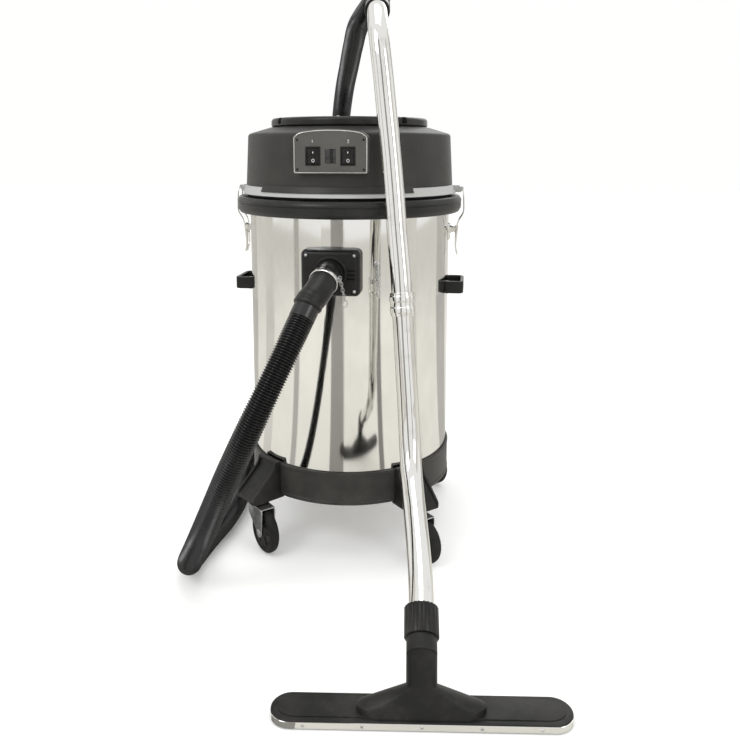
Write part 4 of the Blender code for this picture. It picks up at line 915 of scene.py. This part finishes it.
def make_latch(side):
    """Over-centre latch: plate with two ears and rivets, pressed lever, wire bail, and the catch."""
    turn = sideways(side)
    out = SIDES[side]
    lever_pin, bail_pin = place_of(f"latch_{side}"), place_of(f"bail_{side}")
    x, z = lever_pin.x * out, lever_pin.z
    face, half, ear = DRUM_R + 0.0030, 0.0150, 0.0025
    plate_low, plate_high = low(f"latch_plate_{side}").z, high(f"latch_plate_{side}").z
    shapes = [block((DRUM_R - 0.004, -half, plate_low), (face, half, plate_high), 0.0009, 2)]
    ear_outline = eased([
        (face - 0.001, z - 0.0070), (face + 0.003, z - 0.0060, 0.002), (x + 0.0034, z - 0.0034, 0.003),
        (x + 0.0034, z + 0.0034, 0.003), (face + 0.003, z + 0.0062, 0.002), (face - 0.001, z + 0.0070),
    ])
    lay = Matrix.Rotation(radians(90), 4, "X")
    for way in (-1, 1):
        flank = turned_by(slab(ear_outline, ear - 0.0002, 0.0003, 1), lay)
        shapes.append(turned_by(flank, Matrix.Translation((0, way * (half - ear / 2), 0))))
    shapes.append(pin(0.0018, (x, -half - 0.0008, z), (x, half + 0.0008, z), 24, 0.0004))
    base = boolean(*shapes, operation="UNION")
    drum = lathe([(0, z + 0.05), (DRUM_R + GAP, z + 0.05), (DRUM_R + GAP, z - 0.05), (0, z - 0.05)], 288)
    base = boolean(turned_by(base, turn), drum)
    put(f"latch_base_{side}", base, CHROME, "tank", "bright_metal", f"latch_plate_{side}")
    rivets = [(face - 0.0002, y, plate_low + 0.0045) for y in (-0.0085, 0.0085)]
    rivets += [(face - 0.0002, y, plate_high - 0.0035) for y in (-0.0085, 0.0085)]
    dome = [(0, 0.0012), (0.0012, 0.0011, 0.0005), (0.0024, 0.0003, 0.0005), (0.0024, -0.0004), (0, -0.0004)]
    heads = together(*[standing(lathe(dome, 20), place, (1, 0, 0)) for place in rivets])
    put(f"latch_rivets_{side}", turned_by(heads, turn), ZINC, "tank", "zinc")

    wide = half - ear - 0.0006
    rise, length = (bail_pin - lever_pin).z, 0.0560
    outline = eased([
        (x - 0.0042, z + 0.0022, 0.002), (x - 0.0030, z - 0.0042, 0.002), (x + 0.0030, z - 0.0050, 0.002),
        (x + 0.0028, z - length + 0.016, 0.008), (x + 0.0070, z - length, 0.0006),
        (x + 0.0092, z - length + 0.0005, 0.0008), (x + 0.0052, z - length + 0.016, 0.008),
        (x + 0.0094, z + rise - 0.0040, 0.006), (x + 0.0100, z + rise + 0.0020, 0.003),
        (x + 0.0070, z + rise + 0.0042, 0.003), (x + 0.0030, z + rise + 0.0020, 0.002),
        (x, z + 0.0046, 0.001),
    ], cuts=4)
    lever = turned_by(slab(outline, 2 * wide, 0.0005, 2, 45), lay)
    window = block((x - 0.01, -wide + 0.0045, z - 0.040), (x + 0.02, wide - 0.0045, z - 0.013), 0.0015, 2)
    bores = [pin(0.0021, (x, -half, z), (x, half, z), 24),
             pin(0.0017, (x + 0.0062, -half, z + rise), (x + 0.0062, half, z + rise), 24)]
    lever = boolean(lever, window, *bores)
    put(f"latch_handle_{side}", turned_by(lever, turn), CHROME, f"lever_{side}", "bright_metal",
        f"latch_lever_{side}")

    rod, top = 0.0014, HEAD_LOW - 0.0060
    span, clear, over = wide + 0.0006 + rod, RIM_R + 0.0049, RIM_R + 0.0010
    px, pz = x + 0.0062, z + rise
    up = [
        (px, 0.0, pz), (px, span - 0.0030, pz), (px, span + 0.0012, pz),
        (px + 0.0008, span + 0.0030, pz + 0.0030),
        (px + 0.0050, span + 0.0032, pz + 0.0150), (clear - 0.0010, span + 0.0032, pz + 0.0290),
        (clear + 0.0010, span + 0.0030, pz + 0.0420), (clear, span + 0.0020, top - 0.0180),
        (clear - 0.0010, span, top - 0.0070), (over + 0.0012, span - 0.0030, top + 0.0002),
        (over, span - 0.0080, top + 0.0020), (over, 0.0, top + 0.0020),
    ]
    wire = smooth_points(up + [(a, -b, c) for a, b, c in reversed(up[1:-1])] + [up[0]], 0.0010)[:-1]
    put(f"wire_bail_{side}", turned_by(tube(wire, rod, 14, loop=True), turn), CHROME, f"bail_{side}",
        "bright_metal", f"latch_bail_{side}", smooth=80)

    hook_top, catch_r, catch_low = top + 0.0020, RIM_R + 0.0045, BAND_LOW + 0.0010
    hook = eased([
        (HEAD_R - 0.004, catch_low), (catch_r - 0.006, catch_low, 0.002),
        (catch_r + 0.0005, hook_top - 0.0065, 0.002),
        (catch_r + 0.0005, hook_top - 0.0029, 0.0006), (over + 0.0006, hook_top - rod - GAP, 0.0004),
        (over - 0.0042, hook_top - rod - GAP, 0.0010), (over - 0.0052, hook_top + 0.0020, 0.0012),
        (HEAD_R - 0.004, hook_top + 0.0020),
    ], cuts=4)
    catch = turned_by(turned_by(slab(hook, 2 * (span - 0.0105), 0.0006, 2), lay), turn)
    slope = (BAND_R - HEAD_R) / (HEAD_LOW - GAP - BAND_LOW)
    r_low, r_high = BAND_R + slope * 0.01 + GAP, HEAD_R - slope * 0.01 + GAP
    band = lathe([(0, HEAD_LOW + 0.01), (r_high, HEAD_LOW + 0.01), (r_low, BAND_LOW - 0.01),
                  (0, BAND_LOW - 0.01)], 224)
    put(f"catch_{side}", boolean(catch, band), GREY, "head", "grey_plastic", f"latch_catch_{side}")


# Inlet, elbow and chains

def links(start, end, sag, count, size=(0.0046, 0.0030), wire=0.0006):
    """Bmesh of a chain of oval links between two points, which sags by sag at its middle."""
    shapes = []
    start, end = Vector(start), Vector(end)
    places = [start.lerp(end, k / count) - Vector((0, 0, sag * 4 * (k / count) * (1 - k / count)))
              for k in range(count + 1)]
    for k, (a, b) in enumerate(zip(places, places[1:])):
        along = (b - a).normalized()
        side = along.orthogonal().normalized()
        side = Matrix.Rotation(radians(90 * (k % 2) + 20), 3, along) @ side
        turns = [2 * pi * j / 16 for j in range(16)]
        middle = (a + b) / 2
        loop = [middle + along * size[0] * cos(t) + side * size[1] * sin(t) for t in turns]
        shapes.append(tube(loop, wire, 8, loop=True))
    return together(*shapes)


def make_inlet():
    """Inlet box with a step round its face, a ridge along the top, three vents and screws."""
    w, h, front = INLET_HALF_W, INLET_HALF_H, INLET_FACE
    z = INLET.z
    body = block((-w, front, z - h), (w, -DRUM_R + 0.030, z + h), 0.0110, 6)
    drum = lathe([(0, z + 0.1), (DRUM_R + GAP, z + 0.1), (DRUM_R + GAP, z - 0.1), (0, z - 0.1)], 288)
    vents = [block((0.0330, front - 0.01, z - 0.0120 + 0.0080 * k),
                   (0.0490, front + 0.0050, z - 0.0090 + 0.0080 * k),
                   0.0012, 2) for k in range(3)]
    tools = [pin(0.0213, (0, front - 0.02, z), (0, -DRUM_R + 0.04, z), 48), *vents]
    put("inlet_housing", boolean(body, drum, *tools), BLACK, "tank", "black_plastic", "inlet_box")
    rim_line = [(-w + 0.012, front + 0.0022, z + h - 0.0022), (w - 0.012, front + 0.0022, z + h - 0.0022)]
    ridge = tube(smooth_points(rim_line, 0.004), 0.0012, 12)
    flange = standing(lathe([(0.0275, 0), (0.0275, 0.0030, 0.0010), (0.0330, 0.0030, 0.0014),
                             (0.0345, 0, 0.0005)], 64),
                      (0, front + 0.0002, z), (0, -1, 0))
    put("inlet_ridge", together(ridge, flange), BLACK, "tank", "black_plastic")
    corners = [(x, front, z + y) for x in (-w + 0.011, w - 0.011) for y in (-h + 0.011, h - 0.011)]
    put("inlet_screws", fasteners(corners, (0, -1, 0), 0.0030), ZINC, "tank", "zinc")


def make_elbow():
    """Moulded elbow with grip rings at both ends, the bright band on it and its chain."""
    front, z = INLET_FACE, INLET.z
    bend = [
        Vector((0, front - 0.0050, z)), Vector((-0.0005, front - 0.0250, z - 0.0005)),
        Vector((-0.0030, front - 0.0520, z - 0.0080)), Vector((-0.0100, front - 0.0780, z - 0.0240)),
        ELBOW_END - ELBOW_DOWN * 0.012,
    ]
    coarse = [*smooth_points(bend, 0.0120), ELBOW_END]
    line = smooth_points(coarse, 0.0012)
    skin, total = HOSE_R + 0.0022, len(line)
    radii = []
    for i in range(total):
        near_start, near_end = i * 0.0012, (total - 1 - i) * 0.0012
        bead = max(0.0, 1 - abs(near_start - 0.0060) / 0.0030) + max(0.0, 1 - abs(near_end - 0.0040) / 0.0030)
        groove = sum(max(0.0, 1 - abs(near_end - at) / 0.0012) for at in (0.0110, 0.0150, 0.0190))
        radii.append(skin + 0.0014 * min(1.0, bead) ** 0.6 - 0.0009 * min(1.0, groove))
    radii[0] = radii[-1] = skin - 0.0008
    spigot = pin(0.0204, (0, -DRUM_R + 0.022, z), (0, front - 0.010, z), 48)
    bore = pin(0.0184, (0, -DRUM_R + 0.010, z), (0, front - 0.030, z), 48)
    elbow = boolean(boolean(tube(line, radii, 48), spigot, operation="UNION"), bore)
    put("suction_elbow", elbow, BLACK, "tank", "black_plastic", "hose_elbow", smooth=50)

    middle = coarse[len(coarse) // 2 - 1]
    along = (coarse[len(coarse) // 2] - coarse[len(coarse) // 2 - 2]).normalized()
    r = skin + 0.0006
    profile = [(r, -0.005, 0.0003), (r, 0.005, 0.0003), (r + 0.0006, 0.0052, 0.0003),
               (r + 0.0015, 0.0030, 0.0010),
               (r + 0.0015, -0.0030, 0.0010), (r + 0.0006, -0.0052, 0.0003)]
    band = standing(lathe(profile, 96), middle, along)
    lug_foot = middle + Vector((r, -0.002, 0.004))
    lug = tube([lug_foot + Vector((0.0034 * cos(a) + 0.0018, 0, 0.0034 * sin(a)))
                for a in [2 * pi * k / 20 for k in range(20)]], 0.0010, 10, loop=True)
    put("elbow_band", together(band, lug), CHROME, "tank", "bright_metal", "elbow_collar")
    foot = middle + Vector((HOSE_R + 0.0070, -0.004, 0.0100))
    hang = foot + Vector((0.0100, -0.0010, -0.0440))
    ring = tube([hang + Vector((0.0046 * cos(a), 0, 0.0066 * sin(a) - 0.0060))
                 for a in [2 * pi * k / 28 for k in range(28)]], 0.0011, 10, loop=True)
    put("band_chain", together(links(foot, hang, 0.0, 8), ring), ZINC, "tank", "zinc", "collar_chain",
        smooth=80)

    # A clip on its own short chain hangs from an eye on the drum, right of the inlet.
    eye = Vector((0.0860, -0.2050, INLET.z + 0.0130))
    eye = Vector((*(eye.xy.normalized() * (DRUM_R + 0.0030)), eye.z))
    away = Vector((*eye.xy.normalized(), 0))
    loop_points = [eye + away * 0.0030 * cos(a) + Vector((0, 0, 0.0042 * sin(a)))
                   for a in [2 * pi * k / 20 for k in range(20)]]
    base = standing(lathe([(0, 0.0016), (0.0040, 0.0016, 0.0008), (0.0062, 0, 0.0004), (0, 0)], 32),
                    eye - away * 0.0027, away)
    drop = eye + away * 0.0015 + Vector((0.004, 0, -0.046))
    hook = [drop + Vector((0.0030 * sin(a * 1.15), 0, -0.0030 - 0.0100 * a / pi)) for a in
            [pi * k / 14 for k in range(0, 30)]]
    shapes = [base, tube(loop_points, 0.0009, 10, loop=True), links(eye + Vector((0, -0.0012, -0.004)), drop,
                                                                    0.0, 8),
              tube(smooth_points(hook, 0.0012), 0.0010, 10)]
    put("clip_chain", together(*shapes), ZINC, "tank", "zinc", smooth=80)


# Head

def make_head():
    """Grey band, moulded cover with its lower front skirt, and the crown with four slots."""
    low_z, high_z, inner = BAND_LOW, HEAD_LOW - GAP, HEAD_R - 0.012
    corners = [(inner, low_z), (inner, high_z), (HEAD_R, high_z, 0.0008),
               (BAND_R - 0.0010, low_z + 0.0028, 0.0010),
               (BAND_R, low_z + 0.0016, 0.0006), (BAND_R, low_z, 0.0008)]
    put("clamp_band", lathe(corners, 224), GREY, "head", "grey_plastic", "head_band")
    t, top, hole = 0.0030, CROWN_LOW - GAP, CROWN_R - 0.030
    corners = [
        (HEAD_R - t, HEAD_LOW), (SHOULDER_R - t, SHOULDER_Z - 0.003, 0.002), (CROWN_R, top - t, 0.002),
        (hole, top - t),
        (hole, top), (CROWN_R + 0.0020, top, 0.003), (SHOULDER_R - 0.003, SHOULDER_Z, 0.004),
        (SHOULDER_R, SHOULDER_Z - 0.004, 0.003), (HEAD_R - 0.0002, HEAD_LOW + 0.0040, 0.001),
        (HEAD_R, HEAD_LOW, 0.0008),
    ]
    put("head_cover", lathe(corners, 224), DARK, "head", "dark_plastic", "head_shell")
    slope = (BAND_R - HEAD_R) / (high_z - low_z)
    reach, drop = 42, 0.0095
    foot_r = HEAD_R + slope * drop
    skirt = lathe([(HEAD_R + 0.0003, HEAD_LOW + 0.0030), (foot_r + 0.0005, HEAD_LOW - drop),
                   (foot_r + 0.0024, HEAD_LOW - drop, 0.0008),
                   (HEAD_R + 0.0024, HEAD_LOW + 0.0010, 0.0008),
                   (HEAD_R + 0.0010, HEAD_LOW + 0.0040, 0.0006)],
                  84, -90 - reach, 2 * reach)
    put("front_skirt", skirt, DARK, "head", "dark_plastic")

    high_z, r, low_z = CROWN_TOP, CROWN_R, CROWN_LOW
    corners = [
        (0, high_z - 0.0040), (r - 0.050, high_z - 0.0040, 0.004), (r - 0.042, high_z, 0.004),
        (r - 0.004, high_z, 0.005),
        (r, high_z - 0.0050, 0.003), (r, low_z + 0.003, 0.0010), (r - 0.0020, low_z + 0.0006, 0.0010),
        (0, low_z),
    ]
    slots = []
    for angle in (-50, 50, -130, 130):
        slot = block((r - 0.030, -0.0070, low_z + 0.005), (r + 0.02, 0.0070, high_z + 0.01), 0.0015, 2)
        slots.append(turned_by(slot, Matrix.Rotation(radians(angle - 90), 4, "Z")))
    put("crown", boolean(lathe(corners, 224), *slots), GLOSS_DARK, "head", "dark_plastic", "top_cover")
    screws = [(*(outward(angle) * (r - 0.022)).xy, high_z) for angle in (0, 72, 108, 180, -108, -72)]
    put("crown_screws", fasteners(screws, (0, 0, 1), 0.0036, 0.0016), ZINC, "head", "zinc")


def make_panel():
    """Switch panel with its bright rim, rockers in their frames, pilot window and the marks 1 and 2."""
    half, low_z, high_z, front = PANEL_HALF, PANEL_LOW, PANEL_TOP, PANEL_FACE
    arch, middle = 0.0120, (PANEL_LOW + PANEL_TOP) / 2
    arch_top = [(half * 0.94 * cos(pi * k / 24),
                 high_z - arch + arch * sin(pi * k / 24) ** 0.8) for k in range(1, 24)]
    sides = eased([(-half, high_z - arch - 0.002, 0.004), (-half, low_z, 0.004), (half, low_z, 0.004),
                   (half, high_z - arch - 0.002, 0.004)], cyclic=False, cuts=6)
    outline = [Vector(p) for p in arch_top[::-1]][::-1] + sides
    lay = Matrix.Rotation(radians(90), 4, "X")
    depth = 0.045
    body = turned_by(slab(outline, depth, 0.0026, 4, 50), Matrix.Translation((0, front + depth / 2, 0)) @ lay)
    shell = lathe([(0, SHOULDER_Z + 0.02), (SHOULDER_R - 0.0008, SHOULDER_Z + 0.02),
                   (HEAD_R + 0.0013, HEAD_LOW - 0.02),
                   (0, HEAD_LOW - 0.02)], 224)
    rocker = middle_of("rocker_switch_right") - AXIS
    rocker_w = radius_of("rocker_switch_right")
    rocker_h = (high("rocker_switch_right").z - low("rocker_switch_right").z) / 2
    pockets = [block((way * rocker.x - rocker_w - 0.0006, front - 0.01, rocker.z - rocker_h - 0.0006),
                     (way * rocker.x + rocker_w + 0.0006, front + 0.0085, rocker.z + rocker_h + 0.0006),
                     0.0004, 1)
               for way in (-1, 1)]
    window = block((-0.0105, front - 0.01, rocker.z - 0.014), (0.0105, front + 0.0020, rocker.z + 0.014),
                   0.0010, 2)
    panel = boolean(body, shell, *pockets, window)
    put("switch_fascia", panel, FASCIA, "head", "black_plastic", "switch_panel")

    frame_line = [Vector((p[0] * 0.965, front - 0.0002, middle + (p[1] - middle) * 0.945)) for p in outline]
    put("fascia_trim", tube(frame_line, 0.00085, 10, loop=True), CHROME, "head", "bright_metal", smooth=80)
    lens = block((-0.0098, front + 0.0004, rocker.z - 0.0133), (0.0098, front + 0.0019, rocker.z + 0.0133),
                 0.0005, 2)
    put("pilot_window", lens, WINDOW, "head", None)
    bezels = []
    for way in (-1, 1):
        outer = block((way * rocker.x - rocker_w - 0.0028, front - 0.0010, rocker.z - rocker_h - 0.0028),
                      (way * rocker.x + rocker_w + 0.0028, front + 0.0004, rocker.z + rocker_h + 0.0028),
                      0.0006, 2)
        hole = block((way * rocker.x - rocker_w - 0.0006, front - 0.01, rocker.z - rocker_h - 0.0006),
                     (way * rocker.x + rocker_w + 0.0006, front + 0.01, rocker.z + rocker_h + 0.0006), 0)
        bezels.append(boolean(outer, hole))
    put("rocker_bezels", together(*bezels), MATT_BLACK, "head", "black_plastic")

    for side, way in SIDES.items():
        x, pivot_y, half_h = way * rocker.x, front + 0.0030, rocker_h
        rocker_outline = eased([
            (pivot_y - 0.0025, -half_h + 0.0010, 0.0012), (pivot_y - 0.0012, -0.0005, 0.006),
            (pivot_y - 0.0046, half_h - 0.0016, 0.0016), (pivot_y - 0.0028, half_h - 0.0008, 0.0008),
            (pivot_y + 0.0022, half_h - 0.0026, 0.0010), (pivot_y + 0.0044, 0.0, 0.002),
            (pivot_y + 0.0022, -half_h + 0.0026, 0.0010), (pivot_y - 0.0010, -half_h + 0.0010, 0.0006),
        ], cuts=4)
        turn = Matrix.Translation((x, 0, rocker.z)) @ Matrix.Rotation(radians(90), 4, "Z") \
            @ Matrix.Rotation(radians(90), 4, "X")
        button = turned_by(slab(rocker_outline, 2 * rocker_w, 0.0005, 2, 40), turn)
        put(f"rocker_{side}", button, MATT_BLACK, f"switch_{side}", "black_plastic", f"rocker_switch_{side}")
        bar = block((x - 0.0007, front - 0.0004, rocker.z + 0.0052),
                    (x + 0.0007, front + 0.0008, rocker.z + 0.0108), 0.0002, 1)
        zero = tube([Vector((x + 0.0024 * cos(a), front + 0.0010, rocker.z - 0.0085 + 0.0030 * sin(a)))
                     for a in [2 * pi * k / 28 for k in range(28)]], 0.00045, 8, loop=True)
        put(f"rocker_marks_{side}", together(bar, zero), WHITE_INK, f"switch_{side}", None, smooth=60)
        mark_x, mark_z = x * 1.02, rocker.z + rocker_h + 0.0125
        if side == "left":
            strokes = [[(mark_x - 0.0010, mark_z + 0.0014), (mark_x, mark_z + 0.0024),
                        (mark_x, mark_z - 0.0026)]]
        else:
            bow = [(mark_x + 0.0016 * cos(a), mark_z + 0.0010 + 0.0015 * sin(a)) for a in
                   [radians(165 - 22 * k) for k in range(10)]]
            strokes = [[*bow, (mark_x - 0.0016, mark_z - 0.0026), (mark_x + 0.0018, mark_z - 0.0026)]]
        marks = [tube([Vector((a, front - 0.0002, b)) for a, b in stroke], 0.00038, 8) for stroke in strokes]
        put(f"panel_mark_{side}", together(*marks), WHITE_INK, "head", None, smooth=60)
    screws = [(way * (half - 0.0085), front, z) for way in (-1, 1) for z in (low_z + 0.0085, high_z - 0.0200)]
    put("fascia_screws", fasteners(screws, (0, -1, 0), 0.0024, 0.0010), MATT_BLACK, "head", "black_plastic")


def make_gland():
    """Strain relief at the back of the head: a hex nut and a ribbed tapering sleeve."""
    place = middle_of("cable_gland") - AXIS
    z = place.z
    sleeve = [(0.0040, -0.0060), (0.0040, 0.0300, 0.0008), (0.0068, 0.0300, 0.0014)]
    for k in range(5):
        at = 0.0270 - 0.0042 * k
        grow = 0.0004 * k
        sleeve += [(0.0070 + grow, at + 0.0010, 0.0003), (0.0060 + grow, at, 0.0003),
                   (0.0060 + grow, at - 0.0012, 0.0003), (0.0072 + grow, at - 0.0020, 0.0003)]
    sleeve += [(0.0092, 0.0060, 0.0008), (0.0092, -0.0060)]
    nut = lathe([(0.0045, 0.0080, 0.0010), (0.0118, 0.0080, 0.0015), (0.0128, 0.0060, 0.0008),
                 (0.0128, -0.0060),
                 (0.0045, -0.0060)], 6)
    body = boolean(lathe(sleeve, 48), nut, operation="UNION")
    shell = lathe([(0, z + 0.03), (HEAD_R - 0.0022 + GAP, z + 0.03), (HEAD_R - 0.0022 + GAP, z - 0.03),
                   (0, z - 0.03)], 224)
    body = boolean(standing(body, (0, HEAD_R, z), (0, 1, 0)), shell)
    put("lead_gland", body, RUBBER, "head", "rubber", "cable_gland", smooth=30)


def finish_inside():
    """The working parts inside keep their own shapes and take their materials."""
    kept = {
        "motor_left": CAST, "motor_right": CAST, "fan_left": CAST, "fan_right": CAST,
        "motor_deck": MATT_BLACK,
        "cartridge_filter": FELT, "float_cage": MATT_BLACK, "float_ball": GREY, "inlet_deflector": MATT_BLACK,
        "squeegee_front": RUBBER, "squeegee_rear": RUBBER,
    }
    for node, material in kept.items():
        piece = frame["nodes"][node]
        piece.data.materials.clear()
        piece.data.materials.append(material)


# Wand, cuff and floor tool

def make_wand():
    for name, points, radius, node in (
        ("lower_tube", LOWER_WAND, WAND_R, "lower_wand"),
        ("upper_tube", [*UPPER_WAND[:-1], WAND_END], WAND_R - 0.0004, "upper_wand"),
    ):
        coarse = smooth_points(points, 0.044)
        if node == "upper_wand":
            coarse[-2] = WAND_END - WAND_AWAY * 1.5 * CUFF_GRIP
        line = smooth_points(coarse, 0.0040)
        first, last = (line[0] - line[1]).normalized() * 0.004, (line[-1] - line[-2]).normalized() * 0.004
        bore = tube([line[0] + first, *line[1:-1], line[-1] + last], radius - 0.0015, 48)
        put(name, boolean(tube(line, radius, 64), bore), CHROME, "tank", "bright_metal", node, smooth=60)
    along = (UPPER_WAND[1] - LOWER_WAND[-2]).normalized()
    r = WAND_R + 0.0006
    corners = [(r, -0.022, 0.0004), (r, 0.022, 0.0004), (r + 0.0018, 0.022, 0.0008),
               (r + 0.0024, 0.0165, 0.0010),
               (r + 0.0034, 0.0150, 0.0010), (r + 0.0034, 0.0060, 0.0010), (r + 0.0022, 0.0045, 0.0008),
               (r + 0.0022, -0.0045, 0.0008), (r + 0.0034, -0.0060, 0.0010), (r + 0.0034, -0.0150, 0.0010),
               (r + 0.0024, -0.0165, 0.0010), (r + 0.0018, -0.022, 0.0008)]
    put("joint_sleeve", standing(lathe(corners, 96), LOWER_WAND[-1], along), CHROME, "tank", "bright_metal",
        "wand_lock_collar")

    seat, full, stop = WAND_END - WAND_AWAY * CUFF_GRIP, CUFF_GRIP + CUFF_L, CUFF_GRIP + GAP
    r = WAND_R + 0.0006
    corners = [(r, 0, 0.0006), (r, stop), (r - 0.0045, stop), (r - 0.0045, full), (HOSE_R, full, 0.0010)]
    for k in range(6):
        at = full - 0.0060 - 0.0060 * k
        corners += [(HOSE_R + 0.0012, at, 0.0006), (HOSE_R + 0.0012, at - 0.0024, 0.0006),
                    (HOSE_R + 0.0002, at - 0.0030, 0.0004), (HOSE_R + 0.0002, at - 0.0054, 0.0004)]
    corners += [(WAND_R + 0.0045, 0.0160, 0.0020), (WAND_R + 0.0048, 0.0020, 0.0012),
                (WAND_R + 0.0038, 0, 0.0010)]
    put("swivel_cuff", standing(lathe(corners, 72), seat, WAND_AWAY), BLACK, "cuff", "black_plastic",
        "hose_cuff")


TOOL_X, TOOL_OUT, TOOL_TURN = 0.2080, 0.4025, 5.9
TOOL_AT = Vector((TOOL_X, -(RIM_R + TOOL_OUT), 0))
TOOL = Matrix.Translation(TOOL_AT) @ Matrix.Rotation(radians(TOOL_TURN), 4, "Z")
TOOL_HALF, TOOL_END_R, TOOL_LOW, TOOL_T = 0.2275, 0.0310, 0.0090, 0.0050
SHOULDER_FROM, SHOULDER_TO = 0.12, 0.45
COLLAR_ABOVE, COLLAR_BELOW = 0.0160, 0.0300


def make_tool():
    """Wide floor tool: thin plate with round ends, shouldered housing, fluted collar and bright strip."""
    turns = [radians(a) for a in range(-90, 91, 9)]
    outline = [(TOOL_HALF - TOOL_END_R + TOOL_END_R * cos(a), TOOL_END_R * sin(a)) for a in turns]
    outline += [(-x, -y) for x, y in outline]
    deck = turned_by(slab(outline, TOOL_T, 0.0016, 3, 60), Matrix.Translation((0, 0, TOOL_LOW + TOOL_T / 2)))
    raised = [(x * 0.955, y * 0.70) for x, y in outline]
    step = turned_by(slab(raised, 0.0016, 0.0007, 2, 60), Matrix.Translation((0, 0,
                                                                              TOOL_LOW + TOOL_T + 0.0004)))

    along = (LOWER_WAND[1] - LOWER_WAND[0]).normalized()
    neck_r = WAND_R + 0.0035
    inverse = TOOL.inverted()
    neck = inverse @ (LOWER_WAND[0] - along * 0.050)
    axis = (inverse.to_3x3() @ along).normalized()
    up = -axis.cross(Vector((1, 0, 0))).normalized()
    top, sections, count = TOOL_LOW + TOOL_T, [], 48
    shares = [0.0, 0.06, SHOULDER_FROM, *[SHOULDER_FROM + 0.055 * k for k in range(1, 6)], SHOULDER_TO, 0.52,
              0.62,
              0.75, 0.88, 1.0]
    for share in shares:
        section = []
        for k in range(count):
            a = 2 * pi * k / count
            square = abs(cos(a)) ** -0.35 if abs(cos(a)) > 0.05 else 1
            flat = Vector((0.098 * max(-1, min(1, cos(a) * square)), 0, top - 0.002))
            flat.y = 0.024 * max(-1, min(1, 1.25 * sin(a))) - 0.003
            end = neck + Vector((1, 0, 0)) * (neck_r * cos(a)) - up * (neck_r * sin(a))
            mixed = flat.lerp(end, share)
            narrow = max(0.0, min(1.0, (share - SHOULDER_FROM) / (SHOULDER_TO - SHOULDER_FROM)))
            mixed.x = flat.x + (end.x - flat.x) * narrow
            section.append(mixed)
        sections.append(section)
    housing = loft(sections, caps=True)
    throat = pin(neck_r, inverse @ (LOWER_WAND[0] - along * 0.054),
                 inverse @ (LOWER_WAND[0] - along * (COLLAR_BELOW + GAP)), 48, 0.0010)
    body = boolean(deck, step, housing, throat, operation="UNION")
    put("floor_tool", turned_by(body, TOOL), MATT_BLACK, "tank", "black_plastic", "floor_tool_body",
        smooth=32)

    flutes = []
    for k in range(24):
        for j, grow in ((0.0, 0.0), (0.22, 0.0014), (0.5, 0.0016), (0.78, 0.0014)):
            a = 2 * pi * (k + j) / 24
            flutes.append(((neck_r + 0.0020 + grow) * cos(a), (neck_r + 0.0020 + grow) * sin(a)))
    length = COLLAR_ABOVE + COLLAR_BELOW
    middle = LOWER_WAND[0] + along * (COLLAR_ABOVE - COLLAR_BELOW) / 2
    collar = standing(slab(flutes, length, 0.0010, 2, 60), middle, along)
    bore = pin(WAND_R + 0.0006, LOWER_WAND[0] - along * 0.003, LOWER_WAND[0] + along * 0.03, 48)
    put("fluted_collar", boolean(collar, bore), BLACK, "tank", "black_plastic", "floor_tool_collar",
        smooth=32)

    # The bright strip wraps the front corners of the deck and is held by five screws.
    wrap = [radians(a) for a in range(-90, -20, 10)]
    right = [(TOOL_HALF - TOOL_END_R + (TOOL_END_R + 0.0010) * cos(a),
              (TOOL_END_R + 0.0010) * sin(a)) for a in wrap]
    left = [(-x, y) for x, y in right[::-1]]
    inner = [(x * 0.996, y * 0.965) for x, y in left + right][::-1]
    strip = slab(left + right + inner, 0.0105, 0.0003, 1, 60)
    strip = turned_by(strip, Matrix.Translation((0, 0, 0.0073)))
    put("lip_strip", turned_by(strip, TOOL), CHROME, "tank", "bright_metal", "floor_tool_strip", smooth=30)
    screws = [TOOL @ Vector((x, -TOOL_END_R - 0.0012, 0.0075)) for x in (-0.176, -0.088, 0.0, 0.088, 0.176)]
    front = TOOL.to_3x3() @ Vector((0, -1, 0))
    put("strip_screws", fasteners(screws, front, 0.0026, 0.0010), ZINC, "tank", "zinc")


make_camera()
make_studio()
make_hose()
make_drum()
make_rim()
make_base()
for corner_name, corner_angle in CORNERS.items():
    make_bracket(corner_name, corner_angle)
    make_caster(corner_name)
for side_name in SIDES:
    make_handle(side_name)
    make_latch(side_name)
make_inlet()
make_elbow()
make_head()
make_panel()
make_gland()
finish_inside()
make_wand()
make_tool()
